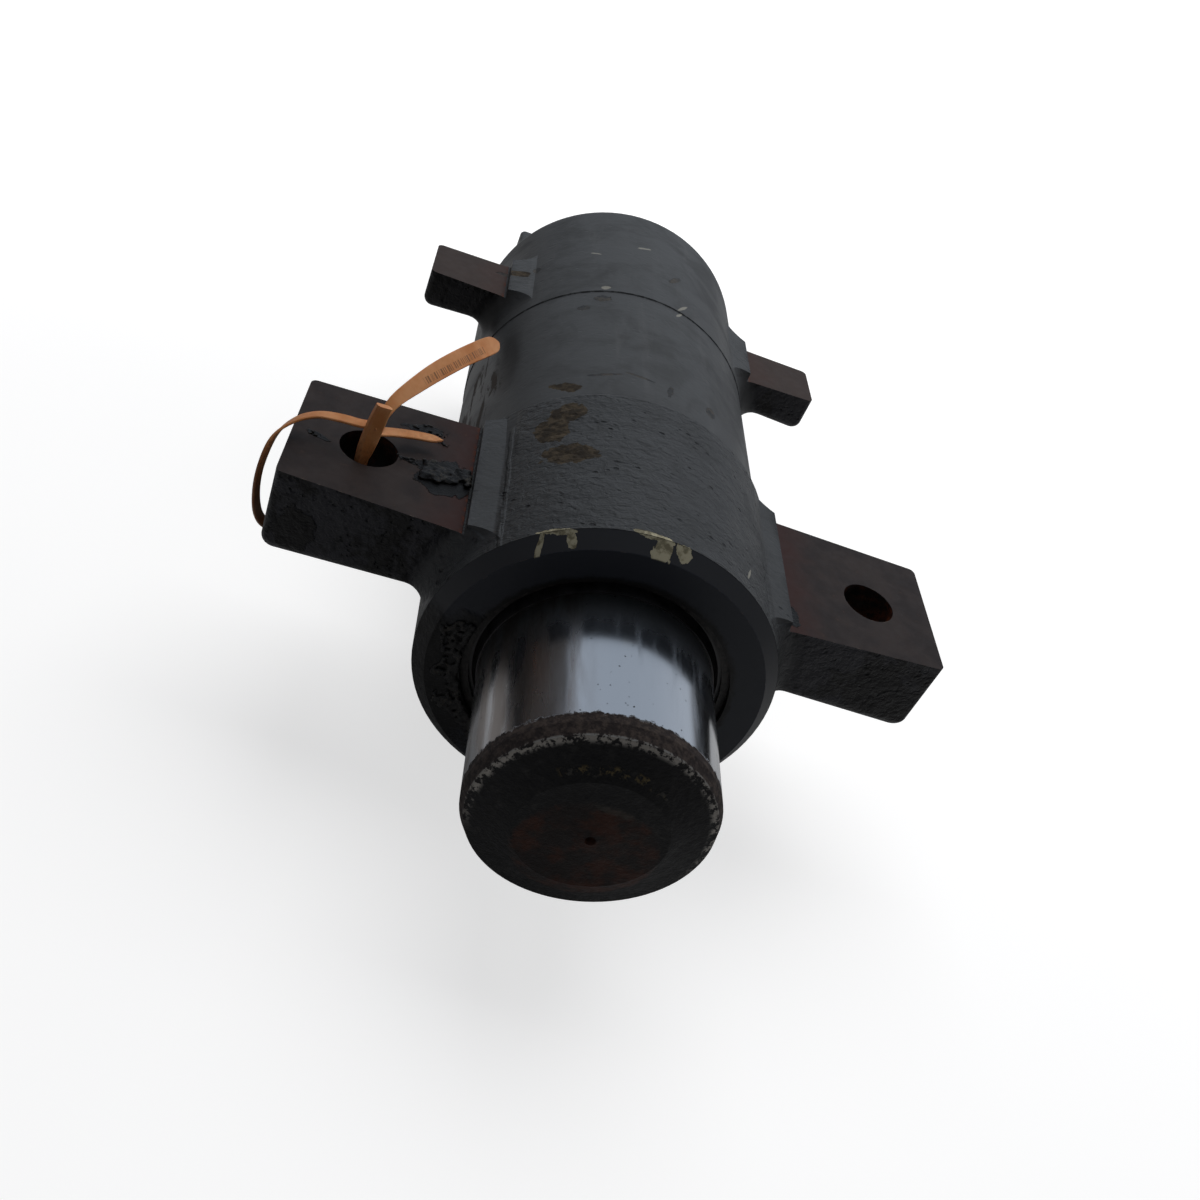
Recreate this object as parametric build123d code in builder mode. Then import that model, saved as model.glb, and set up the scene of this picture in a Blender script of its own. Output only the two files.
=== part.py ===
from build123d import *
import os
from math import radians, sqrt, tan

# Oscillation cylinder: a short-stroke plunger cylinder that locks a swinging axle.
# Millimetres. The origin is midway between the two bolt holes, in the plane of the
# machined mounting faces. +Z is that plane's normal, +Y runs along the cylinder to
# its closed rear end and +X is to the right, seen from the plunger's end.

# Plunger
plunger_radius = 50.0
plunger_length = 306.0
plunger_out = 70.0            # cylindrical length that stands out of the housing
end_chamfer_length = 5.0
end_chamfer_depth = 2.0
crown_height = 8.0            # rise of the convex end above the chamfer's rim
crown_pad_radius = 30.0       # flatter middle of the convex end
crown_pad_height = 2.0
center_drill_radius = 2.3
tail_chamfer = 3.0

# Stop ring on the plunger's tail
stop_wire_radius = 2.3
stop_ring_inset = 10.0        # from the tail's end face to the groove
stop_ring_gap = 14.0          # opening between the ring's two ends
ring_side_play = 0.2

# Housing bore
gland_clearance = 0.4         # bare metal to the plunger
seal_clearance = 0.05         # guide rings and lips to the plunger
seat_clearance = 0.02         # a ring's outside to its groove
side_clearance = 0.15         # a ring's side to its groove
chamber_relief = 3.0          # chamber radius beyond the plunger's
chamber_length = 187.0
chamber_corner = 6.0
lead_in = 2.0                 # chamfer where the chamber meets the gland
land = 5.0                    # metal left between two grooves

# Wiper and its retaining ring, in the open recess of the front face
recess_relief = 7.4           # recess radius beyond the plunger's
retaining_inset = 3.2
retaining_thickness = 2.0
retaining_bite = 2.2          # depth of its groove in the recess wall
retaining_width = 5.4
retaining_gap = 5.0
wiper_width = 8.5
wiper_case_wall = 1.2
wiper_lip_length = 4.6        # how far the lip stands forward of the wiper's body
wiper_lip_wall = 1.3

# Rod seal, its spreader ring and its back-up ring
rod_seal_section = 7.5
rod_seal_width = 9.8
rod_seal_lip_depth = 4.6
backup_width = 2.4
spreader_radius = 1.5

# Buffer seal: a slide ring over an O-ring
buffer_section = 7.6
buffer_width = 8.0
slide_ring_wall = 3.1

# Guide rings: split bands in shallow grooves
guide_wall = 2.45
guide_width = 14.7
guide_gap = 3.0

# Housing, outside
barrel_wall = 25.2
rear_wall = 37.0
front_chamfer = 6.0
front_section_length = 106.0
front_section_rim = 0.2       # radius beyond the barrel's at the front chamfer
front_section_step = 2.8      # radius beyond the barrel's at the step
step_rounding = 2.0
rear_band_length = 118.0
rear_band_step = 0.5
rear_rounding = 13.0

# Mounting faces and ears
axis_drop = 43.4              # cylinder axis below the mounting faces
front_face_ahead = 57.0       # front face ahead of the bolt line
bolt_spacing = 235.0
bolt_hole_radius = 12.5
hole_edge_break = 0.6         # at the spot faces
spot_face_radius = 22.5
spot_face_depth = 1.5
shoulder_setback = 7.0        # from the barrel, at face height, to the cast shoulder
shoulder_height = 5.0         # cast root above the machined face
root_slope = 15.7             # degrees
ear_root_fillet = 10.0
ear_block_share = 0.66        # top of an uncut ear, as a share of the barrel's height over the faces
slice_spare = 5.0             # barrel slice beyond the ear root's fillet
ear_tip_rounding = 3.0
front_ear_edge = 32.0         # tip beyond the bolt hole's centre
front_ear_tip = (-33.3, 38.8)
front_ear_root = (-38.2, 42.0)
front_ear_thickness = 42.4
front_ear_rise = 4.0          # degrees that the underside rises towards the barrel
front_ear_lower_rounding = 8.0
rear_ear_reach = 113.8
rear_ear_tip = (180.2, 215.2)
rear_ear_root = (178.5, 216.5)
rear_ear_thickness = 22.0
rear_ear_rise = 4.0
rear_ear_lower_rounding = 6.0

# Pressure port on the rear end, with its adapter
port_side = -50.5             # port axis from the cylinder axis, along X
port_up = 20.6                # and along Z
port_boss_side = 36.0         # a square boss, faced by milling
port_boss_corner = 3.0
port_boss_height = 8.0
port_thread_radius = 11.0
port_depth = 18.0
port_seat_radius = 14.5
port_seat_depth = 1.0
drilling_radius = 4.0
adapter_hex = 32.0            # across flats
adapter_hex_length = 10.0
adapter_thread_radius = 13.0
adapter_thread_length = 14.0
adapter_bore_radius = 7.5
adapter_thread_clearance = 0.03
port_seal_wall = 2.6
port_seal_thickness = 1.5

# Bleed screw on the rear end
bleed_side = 25.0
bleed_up = 15.0
bleed_thread_radius = 5.0
bleed_depth = 14.0
bleed_hole_radius = 2.0
bleed_hex = 11.0
bleed_hex_length = 6.0
bleed_nipple_radius = 3.4
bleed_nipple_length = 10.0
bleed_waist_radius = 2.6
bleed_passage_radius = 1.0
cap_wall = 1.6
cap_clearance = 0.1

# Radii that follow from the plunger's
chamber_radius = plunger_radius + chamber_relief
gland_radius = plunger_radius + gland_clearance
seal_radius = plunger_radius + seal_clearance
recess_radius = plunger_radius + recess_relief
rod_groove_radius = plunger_radius + rod_seal_section
buffer_groove_radius = plunger_radius + buffer_section
guide_groove_radius = seal_radius + guide_wall + seat_clearance
barrel_radius = chamber_radius + barrel_wall

# Stations along the axis, measured from the front face
retaining_start = retaining_inset
retaining_end = retaining_start + retaining_thickness + 2 * side_clearance
wiper_start = retaining_end + side_clearance
recess_depth = wiper_start + wiper_width + side_clearance
rod_groove_start = recess_depth + land
rod_groove_width = backup_width + rod_seal_width + 3 * side_clearance
guide_1_start = rod_groove_start + rod_groove_width + land
guide_groove_width = guide_width + 2 * side_clearance
buffer_start = guide_1_start + guide_groove_width + land
buffer_groove_width = buffer_width + 2 * side_clearance
guide_2_start = buffer_start + buffer_groove_width + land
guide_3_start = guide_2_start + guide_groove_width + land
gland_end = guide_3_start + guide_groove_width + land
chamber_start = gland_end + lead_in
chamber_end = gland_end + chamber_length
body_length = chamber_end + rear_wall
plunger_tail = plunger_length - plunger_out - end_chamfer_length - crown_height
boss_end = body_length + port_boss_height

# Working planes: profiles are drawn as (station, radius), with the plunger's end
# towards negative stations, and turned about the cylinder axis.
profile_plane = Plane(
    origin=(0, -front_face_ahead, -axis_drop), x_dir=(0, 1, 0), z_dir=(1, 0, 0)
)
cylinder_axis = Axis(profile_plane.origin, (0, 1, 0))


def cross_plane(station, side=0.0, up=0.0, facing=1):
    """A plane across the cylinder at a station; facing is +1 to the rear, -1 to the front."""
    return Plane(
        origin=(side, station - front_face_ahead, up - axis_drop),
        x_dir=(-facing, 0, 0),
        z_dir=(0, facing, 0),
    )


def turned_ring(start, end, inner, outer, gap=0.0, edge=0.0):
    """A flat-sided ring about the cylinder axis, with broken edges and an optional split."""
    with BuildPart() as ring:
        with BuildSketch(profile_plane):
            with Locations(((start + end) / 2, (inner + outer) / 2)):
                Rectangle(end - start, outer - inner)
        revolve(axis=cylinder_axis)
        if edge > 0:
            chamfer(ring.edges().filter_by(GeomType.CIRCLE), edge)
        if gap > 0:
            with BuildSketch(cross_plane(start - 1)):
                with Locations((0, -(inner + outer) / 2)):
                    Rectangle(gap, 2 * (outer - inner))
            extrude(amount=end - start + 2, mode=Mode.SUBTRACT)
    return ring.part


def ear_pair(radius, reach, tip, root, thickness, rise, lower_rounding):
    """Both ears of one pair with the slice of barrel that they are cast on.

    Each ear is a plan outline crossed with a side-on outline, blended into the barrel.
    Its top is then cut twice: the sloping cast root and the machined face below it.
    """
    inner = radius / 4
    flare = (shoulder - inner) / (reach - shoulder)
    front_inner = root[0] + flare * (root[0] - tip[0])
    rear_inner = root[1] + flare * (root[1] - tip[1])
    slice_length = root[1] - root[0] + 2 * (ear_root_fillet + slice_spare)
    with BuildPart() as ears:
        with BuildSketch(Plane.XY.offset(-2 * thickness)):
            with BuildLine():
                Polyline(
                    (inner, front_inner), (reach, tip[0]), (reach, tip[1]), (inner, rear_inner),
                    close=True,
                )
            make_face()
        extrude(amount=2 * thickness + axis_drop)
        with BuildSketch(Plane.XZ.offset(-tip[1] - thickness)):
            with BuildLine():
                Polyline(
                    (inner, (reach - inner) * tan(radians(rise)) - thickness),
                    (reach, -thickness), (reach, ear_block_top), (inner, ear_block_top),
                    close=True,
                )
            make_face()
        extrude(amount=tip[1] - tip[0] + 2 * thickness, mode=Mode.INTERSECT)
        tip_face = ears.faces().sort_by(Axis.X)[-1]
        fillet(tip_face.edges().filter_by(Axis.Z), ear_tip_rounding)
        underside = ears.faces().sort_by(Axis.Z)[0]
        fillet(underside.edges().sort_by(Axis.X)[1:], lower_rounding)
        with BuildSketch(profile_plane):
            with Locations(((root[0] + root[1]) / 2 + front_face_ahead, radius / 2)):
                Rectangle(slice_length, radius)
        revolve(axis=cylinder_axis)
        fillet(root_edges(ears, radius), ear_root_fillet)
        with BuildSketch(Plane.XZ.offset(slice_length - root[0])):
            with BuildLine():
                Polyline(
                    (radius / 3, shoulder_height + (shoulder - radius / 3) * root_incline),
                    (shoulder, shoulder_height), (shoulder, 0), (reach + thickness, 0),
                    (reach + thickness, 2 * axis_drop), (radius / 3, 2 * axis_drop), close=True,
                )
            make_face()
        extrude(amount=-3 * slice_length, mode=Mode.SUBTRACT)
        mirror(about=Plane.YZ)
        with BuildSketch(profile_plane):
            with Locations(((root[0] + root[1]) / 2 + front_face_ahead, radius / 2)):
                Rectangle(slice_length, radius)
        revolve(axis=cylinder_axis)
    return ears.part


def root_edges(part, radius):
    """Edges where a full-height ear meets its slice of barrel, apart from the top one."""
    found = []
    for edge in part.edges():
        points = [edge @ t for t in (0.0, 0.25, 0.5, 0.75, 1.0)]
        on_barrel = all(abs(sqrt(p.X**2 + (p.Z + axis_drop) ** 2) - radius) < 0.01 for p in points)
        middle = edge.center()
        full_turn = edge.length > 2 * radius
        if on_barrel and not full_turn and middle.X > 1 and middle.Z < ear_block_top - 1:
            found.append(edge)
    return found


def in_groove(start, width, radius):
    """Corner points of one groove in the gland's wall."""
    return [
        (start, gland_radius), (start, radius),
        (start + width, radius), (start + width, gland_radius),
    ]


# Housing: barrel and ears are cast in one, then bored and faced
shoulder = sqrt(barrel_radius**2 - axis_drop**2) + shoulder_setback
root_incline = tan(radians(root_slope))
ear_block_top = ear_block_share * (barrel_radius - axis_drop)
band_radius = barrel_radius + rear_band_step
front_rim_radius = barrel_radius + front_section_rim
front_ear_reach = bolt_spacing / 2 + front_ear_edge
spot_face_level = (front_ear_edge + spot_face_radius) * tan(radians(front_ear_rise))
bolt_bore_length = front_ear_thickness - spot_face_level - spot_face_depth

with BuildPart() as front_section:
    with BuildSketch(profile_plane):
        with BuildLine():
            Polyline(
                (0, 0), (0, front_rim_radius), (front_chamfer, front_rim_radius),
                (front_section_length, barrel_radius + front_section_step),
                (front_section_length, 0), close=True,
            )
        make_face()
    revolve(axis=cylinder_axis)
    step_edge = front_section.edges().filter_by(GeomType.CIRCLE).sort_by(Axis.Y)[-1]
    fillet(step_edge, step_rounding)

with BuildPart() as housing:
    with BuildSketch(profile_plane):
        with BuildLine():
            Polyline(
                (front_chamfer, 0), (front_chamfer, barrel_radius),
                (body_length - rear_band_length, barrel_radius),
                (body_length - rear_band_length + rear_band_step, band_radius),
                (body_length, band_radius), (body_length, 0), close=True,
            )
        make_face()
    revolve(axis=cylinder_axis)
    rear_edge = housing.edges().filter_by(GeomType.CIRCLE).sort_by(Axis.Y)[-1]
    fillet(rear_edge, rear_rounding)
    add(ear_pair(
        barrel_radius, front_ear_reach, front_ear_tip, front_ear_root, front_ear_thickness,
        front_ear_rise, front_ear_lower_rounding,
    ))
    add(ear_pair(
        band_radius, rear_ear_reach, rear_ear_tip, rear_ear_root, rear_ear_thickness,
        rear_ear_rise, rear_ear_lower_rounding,
    ))
    add(front_section.part)
    with BuildSketch(profile_plane):
        with BuildLine():
            Polyline(
                (-front_chamfer, front_rim_radius - 2 * front_chamfer),
                (front_chamfer, front_rim_radius), (front_chamfer, front_rim_radius + front_chamfer),
                (-front_chamfer, front_rim_radius + front_chamfer), close=True,
            )
        make_face()
    revolve(axis=cylinder_axis, mode=Mode.SUBTRACT)

    # bolt holes and the spot faces below them
    with BuildSketch(Plane.XY):
        with Locations((bolt_spacing / 2, 0), (-bolt_spacing / 2, 0)):
            Circle(bolt_hole_radius)
    extrude(amount=-2 * front_ear_thickness, mode=Mode.SUBTRACT)
    with BuildSketch(Plane.XY.offset(-bolt_bore_length)):
        with Locations((bolt_spacing / 2, 0), (-bolt_spacing / 2, 0)):
            Circle(spot_face_radius)
    extrude(amount=-front_ear_thickness, mode=Mode.SUBTRACT)
    lower_rims = [
        e for e in housing.edges().filter_by(GeomType.CIRCLE)
        if abs(e.radius - bolt_hole_radius) < 0.01 and e.center().Z < -hole_edge_break
    ]
    chamfer(lower_rims, hole_edge_break)

    # recess, gland with its grooves, and chamber
    bore_points = [
        (-1, 0), (-1, recess_radius),
        (retaining_start, recess_radius), (retaining_start, recess_radius + retaining_bite),
        (retaining_end, recess_radius + retaining_bite), (retaining_end, recess_radius),
        (recess_depth, recess_radius), (recess_depth, gland_radius),
    ]
    bore_points += in_groove(rod_groove_start, rod_groove_width, rod_groove_radius)
    bore_points += in_groove(guide_1_start, guide_groove_width, guide_groove_radius)
    bore_points += in_groove(buffer_start, buffer_groove_width, buffer_groove_radius)
    bore_points += in_groove(guide_2_start, guide_groove_width, guide_groove_radius)
    bore_points += in_groove(guide_3_start, guide_groove_width, guide_groove_radius)
    bore_points += [
        (gland_end, gland_radius), (chamber_start, chamber_radius),
        (chamber_end, chamber_radius), (chamber_end, 0),
    ]
    with BuildSketch(profile_plane):
        with BuildLine():
            Polyline(*bore_points, close=True)
        make_face()
    revolve(axis=cylinder_axis, mode=Mode.SUBTRACT)

    # port boss, threaded port and the drilling from it to the chamber
    with BuildSketch(cross_plane(body_length - rear_rounding, port_side, port_up)):
        RectangleRounded(port_boss_side, port_boss_side, port_boss_corner)
    extrude(amount=rear_rounding + port_boss_height)
    with BuildSketch(cross_plane(boss_end, port_side, port_up, facing=-1)):
        Circle(port_thread_radius)
    extrude(amount=port_depth, mode=Mode.SUBTRACT)
    with BuildSketch(cross_plane(boss_end, port_side, port_up, facing=-1)):
        Circle(port_seat_radius)
    extrude(amount=port_seat_depth, mode=Mode.SUBTRACT)
    port_reach = sqrt(port_side**2 + port_up**2)
    port_floor = Vector(port_side, boss_end - port_depth - front_face_ahead, port_up - axis_drop)
    inlet = (chamber_radius - chamber_corner - drilling_radius) / port_reach
    chamber_inlet = Vector(
        port_side * inlet, chamber_end - front_face_ahead, port_up * inlet - axis_drop
    )
    drilling = chamber_inlet - port_floor
    with BuildSketch(Plane(origin=port_floor, z_dir=drilling)):
        Circle(drilling_radius)
    extrude(amount=drilling.length + drilling_radius, mode=Mode.SUBTRACT)

    # bleed screw's thread and its way into the chamber
    with BuildSketch(cross_plane(body_length, bleed_side, bleed_up, facing=-1)):
        Circle(bleed_thread_radius)
    extrude(amount=bleed_depth, mode=Mode.SUBTRACT)
    with BuildSketch(cross_plane(body_length, bleed_side, bleed_up, facing=-1)):
        Circle(bleed_hole_radius)
    extrude(amount=rear_wall + 1, mode=Mode.SUBTRACT)

# Plunger
crown_start = -plunger_out - end_chamfer_length
crown_top = crown_start - crown_height
stop_groove_width = 2 * stop_wire_radius + 2 * ring_side_play
stop_groove_end = plunger_tail - stop_ring_inset
stop_groove_start = stop_groove_end - stop_groove_width
stop_groove_radius = plunger_radius - 2 * stop_wire_radius - ring_side_play
crown_rim_radius = plunger_radius - end_chamfer_depth
center_drill_depth = center_drill_radius * tan(radians(60))

with BuildPart() as plunger:
    with BuildSketch(profile_plane):
        with BuildLine():
            pad_edge = (crown_top + crown_pad_height, crown_pad_radius)
            Polyline(
                (plunger_tail, 0), (crown_top + center_drill_depth, 0),
                (crown_top, center_drill_radius),
            )
            RadiusArc((crown_top, center_drill_radius), pad_edge, -6 * crown_pad_radius)
            RadiusArc(pad_edge, (crown_start, crown_rim_radius), -2 * crown_rim_radius)
            Polyline(
                (crown_start, crown_rim_radius), (-plunger_out, plunger_radius),
                (stop_groove_start, plunger_radius), (stop_groove_start, stop_groove_radius),
                (stop_groove_end, stop_groove_radius), (stop_groove_end, plunger_radius),
                (plunger_tail - tail_chamfer, plunger_radius),
                (plunger_tail, plunger_radius - tail_chamfer), (plunger_tail, 0),
            )
        make_face()
    revolve(axis=cylinder_axis)

# Stop ring: round spring wire
wire_center = chamber_radius - gland_clearance - stop_wire_radius
with BuildPart() as stop_ring:
    with BuildSketch(profile_plane):
        with Locations(((stop_groove_start + stop_groove_end) / 2, wire_center)):
            Circle(stop_wire_radius)
    revolve(axis=cylinder_axis)
    with BuildSketch(cross_plane(stop_groove_start)):
        with Locations((0, -wire_center)):
            Rectangle(stop_ring_gap, 4 * stop_wire_radius)
    extrude(amount=stop_groove_width, mode=Mode.SUBTRACT)

# Wiper: a pressed steel case with a rubber body and one long lip
case_outer = recess_radius - seat_clearance
case_inner = case_outer - wiper_case_wall
wiper_end = wiper_start + wiper_width
flange_start = wiper_end - wiper_case_wall
body_inner = seal_radius + wiper_lip_wall
with BuildPart() as wiper_case:
    with BuildSketch(profile_plane):
        with BuildLine():
            Polyline(
                (wiper_start, case_outer), (wiper_end, case_outer),
                (wiper_end, body_inner + wiper_lip_wall),
                (flange_start, body_inner + wiper_lip_wall),
                (flange_start, case_inner), (wiper_start, case_inner), close=True,
            )
        make_face()
    revolve(axis=cylinder_axis)

with BuildPart() as wiper_lip:
    with BuildSketch(profile_plane):
        with BuildLine():
            Polyline(
                (wiper_start, case_inner), (flange_start, case_inner),
                (flange_start, body_inner), (wiper_start, body_inner),
                (wiper_start - wiper_lip_length, seal_radius),
                (wiper_start - wiper_lip_length, seal_radius + wiper_lip_wall / 2),
                (wiper_start, body_inner + wiper_lip_wall), close=True,
            )
        make_face()
    revolve(axis=cylinder_axis)

retaining_outer = recess_radius + retaining_bite - side_clearance
retaining_ring_start = retaining_start + side_clearance
wiper_retaining_ring = turned_ring(
    retaining_ring_start, retaining_ring_start + retaining_thickness,
    retaining_outer - retaining_width, retaining_outer, gap=retaining_gap,
)

# Rod seal: two lips towards the pressure, a spreader ring between them
backup_start = rod_groove_start + side_clearance
rod_seal_start = backup_start + backup_width + side_clearance
rod_seal_end = rod_seal_start + rod_seal_width
seal_middle = (seal_radius + rod_groove_radius - seat_clearance) / 2
slot_half = spreader_radius + seat_clearance
rod_seal_backup_ring = turned_ring(
    backup_start, backup_start + backup_width, seal_radius, rod_groove_radius - seat_clearance,
)
with BuildPart() as rod_seal:
    with BuildSketch(profile_plane):
        with BuildLine():
            Polyline(
                (rod_seal_start, seal_radius + side_clearance),
                (rod_seal_end, seal_radius), (rod_seal_end, seal_middle - slot_half),
                (rod_seal_end - rod_seal_lip_depth, seal_middle - slot_half),
                (rod_seal_end - rod_seal_lip_depth, seal_middle + slot_half),
                (rod_seal_end, seal_middle + slot_half),
                (rod_seal_end, rod_groove_radius - seat_clearance),
                (rod_seal_start, rod_groove_radius - seat_clearance), close=True,
            )
        make_face()
    revolve(axis=cylinder_axis)

with BuildPart() as rod_seal_spreader:
    with BuildSketch(profile_plane):
        spreader_station = rod_seal_end - rod_seal_lip_depth + spreader_radius + seat_clearance
        with Locations((spreader_station, seal_middle)):
            Circle(spreader_radius)
    revolve(axis=cylinder_axis)

# Buffer seal
slide_ring_outer = seal_radius + slide_ring_wall
buffer_seal_ring = turned_ring(
    buffer_start + side_clearance, buffer_start + side_clearance + buffer_width,
    seal_radius, slide_ring_outer,
)
energiser_radius = (buffer_groove_radius - slide_ring_outer) / 2 - seat_clearance
with BuildPart() as buffer_seal_o_ring:
    with BuildSketch(profile_plane):
        energiser_middle = (buffer_groove_radius + slide_ring_outer) / 2
        with Locations((buffer_start + buffer_groove_width / 2, energiser_middle)):
            Circle(energiser_radius)
    revolve(axis=cylinder_axis)

# Guide rings
guide_rings = {}
for place, start in (
    ("front", guide_1_start), ("middle", guide_2_start), ("rear", guide_3_start)
):
    guide_rings[place] = turned_ring(
        start + side_clearance, start + side_clearance + guide_width,
        seal_radius, seal_radius + guide_wall, gap=guide_gap, edge=side_clearance,
    )

# Port adapter and its sealing ring
seat_station = boss_end - port_seat_depth
hex_start = seat_station + port_seal_thickness
hex_end = hex_start + adapter_hex_length
stud_radius = port_thread_radius - adapter_thread_clearance
with BuildPart() as port_adapter:
    with BuildSketch(cross_plane(hex_start, port_side, port_up)):
        RegularPolygon(adapter_hex / 2, 6, major_radius=False)
    extrude(amount=adapter_hex_length)
    with BuildSketch(cross_plane(hex_start, port_side, port_up, facing=-1)):
        Circle(stud_radius)
    extrude(amount=port_depth - port_seat_depth)
    with BuildSketch(cross_plane(hex_end, port_side, port_up)):
        Circle(adapter_thread_radius)
    extrude(amount=adapter_thread_length)
    with BuildSketch(cross_plane(hex_end + adapter_thread_length, port_side, port_up, facing=-1)):
        Circle(adapter_bore_radius)
    extrude(amount=adapter_thread_length + adapter_hex_length + port_depth, mode=Mode.SUBTRACT)
    mouth = port_adapter.edges().filter_by(GeomType.CIRCLE).sort_by(Axis.Y)[-2:]
    chamfer(mouth, adapter_bore_radius / 5)

with BuildPart() as port_adapter_seal:
    with BuildSketch(cross_plane(seat_station, port_side, port_up)):
        Circle(stud_radius + seat_clearance + port_seal_wall)
        Circle(stud_radius + seat_clearance, mode=Mode.SUBTRACT)
    extrude(amount=port_seal_thickness)

# Bleed screw and its dust cap
bleed_start = body_length - bleed_depth + 2 * side_clearance
bleed_hex_start = body_length + bleed_thread_radius / 2
bleed_neck_start = bleed_hex_start + bleed_hex_length
bleed_end = bleed_neck_start + bleed_nipple_length
with BuildPart() as bleed_screw:
    with BuildSketch(cross_plane(bleed_start, bleed_side, bleed_up)):
        Circle(bleed_thread_radius - adapter_thread_clearance)
    extrude(amount=bleed_hex_start - bleed_start)
    with BuildSketch(cross_plane(bleed_hex_start, bleed_side, bleed_up)):
        RegularPolygon(bleed_hex / 2, 6, major_radius=False)
    extrude(amount=bleed_hex_length)
    with BuildSketch(cross_plane(bleed_neck_start, bleed_side, bleed_up)):
        Circle(bleed_waist_radius)
    extrude(amount=bleed_nipple_length)
    with BuildSketch(cross_plane(bleed_end - bleed_nipple_length / 2, bleed_side, bleed_up)):
        Circle(bleed_nipple_radius)
    extrude(amount=bleed_nipple_length / 2, taper=10)
    with BuildSketch(cross_plane(bleed_end, bleed_side, bleed_up, facing=-1)):
        Circle(bleed_passage_radius)
    extrude(amount=bleed_nipple_length + bleed_hex_length, mode=Mode.SUBTRACT)

cap_inner = bleed_nipple_radius + cap_clearance
with BuildPart() as bleed_cap:
    with BuildSketch(cross_plane(bleed_neck_start, bleed_side, bleed_up)):
        Circle(cap_inner + cap_wall)
    extrude(amount=bleed_nipple_length + cap_clearance + cap_wall)
    with BuildSketch(cross_plane(bleed_neck_start, bleed_side, bleed_up)):
        Circle(cap_inner)
    extrude(amount=bleed_nipple_length + cap_clearance, mode=Mode.SUBTRACT)
    crown_rim = bleed_cap.edges().filter_by(GeomType.CIRCLE).sort_by(Axis.Y)[-1]
    fillet(crown_rim, cap_wall * 0.9)

# Pieces and their files
pieces = {
    "housing": housing.part,
    "plunger": plunger.part,
    "stop_ring": stop_ring.part,
    "wiper_case": wiper_case.part,
    "wiper_lip": wiper_lip.part,
    "wiper_retaining_ring": wiper_retaining_ring,
    "rod_seal": rod_seal.part,
    "rod_seal_spreader": rod_seal_spreader.part,
    "rod_seal_backup_ring": rod_seal_backup_ring,
    "buffer_seal_ring": buffer_seal_ring,
    "buffer_seal_o_ring": buffer_seal_o_ring.part,
    "guide_ring_front": guide_rings["front"],
    "guide_ring_middle": guide_rings["middle"],
    "guide_ring_rear": guide_rings["rear"],
    "port_adapter": port_adapter.part,
    "port_adapter_seal": port_adapter_seal.part,
    "bleed_screw": bleed_screw.part,
    "bleed_cap": bleed_cap.part,
}
os.makedirs("parts", exist_ok=True)
for name, piece in pieces.items():
    piece.label = name
    export_step(piece, f"parts/{name}.step")
    print(name, len(piece.solids()), "solid,", round(piece.volume / 1000, 2), "cm3")
print("bolt bore length", round(bolt_bore_length, 3), "body length", round(body_length, 3))
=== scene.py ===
# %% [markdown]
# # An oscillation cylinder, dressed for its portrait
# The solids of this hydraulic cylinder come from CAD and stay exactly where they are. This
# lesson gives them light, paint, chrome, rust and grease, and adds the few things that are
# too soft or too small for CAD: the tie-on tag, the grease and the scars in the paint.
# The first cell loads the solids and keeps their box; its lowest point sets the floor's height.

# %% Load the solids
import bpy
import bmesh
import math
import random
from mathutils import Matrix, Vector, noise


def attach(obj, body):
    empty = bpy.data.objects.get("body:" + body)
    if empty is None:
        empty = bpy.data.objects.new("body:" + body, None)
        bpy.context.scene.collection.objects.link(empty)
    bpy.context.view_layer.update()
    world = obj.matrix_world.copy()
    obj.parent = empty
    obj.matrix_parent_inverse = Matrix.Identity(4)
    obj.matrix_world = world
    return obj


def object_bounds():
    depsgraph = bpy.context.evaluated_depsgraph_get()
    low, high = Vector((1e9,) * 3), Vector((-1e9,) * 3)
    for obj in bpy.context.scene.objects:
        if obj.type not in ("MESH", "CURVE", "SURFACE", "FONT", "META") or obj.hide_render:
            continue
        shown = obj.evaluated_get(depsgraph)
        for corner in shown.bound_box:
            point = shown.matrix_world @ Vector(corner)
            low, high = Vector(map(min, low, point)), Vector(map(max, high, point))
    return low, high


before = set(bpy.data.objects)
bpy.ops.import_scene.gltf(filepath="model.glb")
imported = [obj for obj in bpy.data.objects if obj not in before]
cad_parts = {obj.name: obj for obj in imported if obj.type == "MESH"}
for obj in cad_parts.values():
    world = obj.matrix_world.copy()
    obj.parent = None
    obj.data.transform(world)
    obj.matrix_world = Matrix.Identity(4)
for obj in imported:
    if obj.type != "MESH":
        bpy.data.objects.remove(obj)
cad_box = [list(corner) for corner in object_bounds()]
MM = 0.001
print("nodes", len(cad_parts), "box", cad_box)

# %% [markdown]
# ## Where things are
# Every texture below is placed in the cylinder's own frame: the origin lies midway between
# the two bolt holes, in the plane of the machined faces, X to the right, Y along the barrel
# to its closed end and Z up. The barrel's axis runs below the origin. These few lengths are
# in millimetres and say where the paint ends and where bare metal begins.

# %% Lengths of the casting, in millimetres
AXIS_DROP = 43.4
FRONT_FACE = -57.0
BARREL_RADIUS = 78.2
CHAMFER_END = FRONT_FACE + 6.0
STEP_AT = FRONT_FACE + 106.0
BAND_AT = FRONT_FACE + 216.2
RECESS_RADIUS = 57.4
REAR_WALL = FRONT_FACE + 305.0
BOLT_SIDE = 117.5
SHOULDER = 73.0
ROD_RADIUS = 50.0
ROD_RIM = FRONT_FACE - 70.0
ROD_CROWN = ROD_RIM - 5.0
floor_level = cad_box[0][2]
print("floor at", round(floor_level, 4), "m")

# %% [markdown]
# ## The camera
# The picture was taken from above the plunger's end, close to the cylinder and with the
# camera rolled by a quarter of a right angle. A camera so near shows strong perspective: the
# front face looks much larger than the rear end. The three rows below are the camera's right,
# up and back directions, found by fitting known edges of the casting to the picture.

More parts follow.
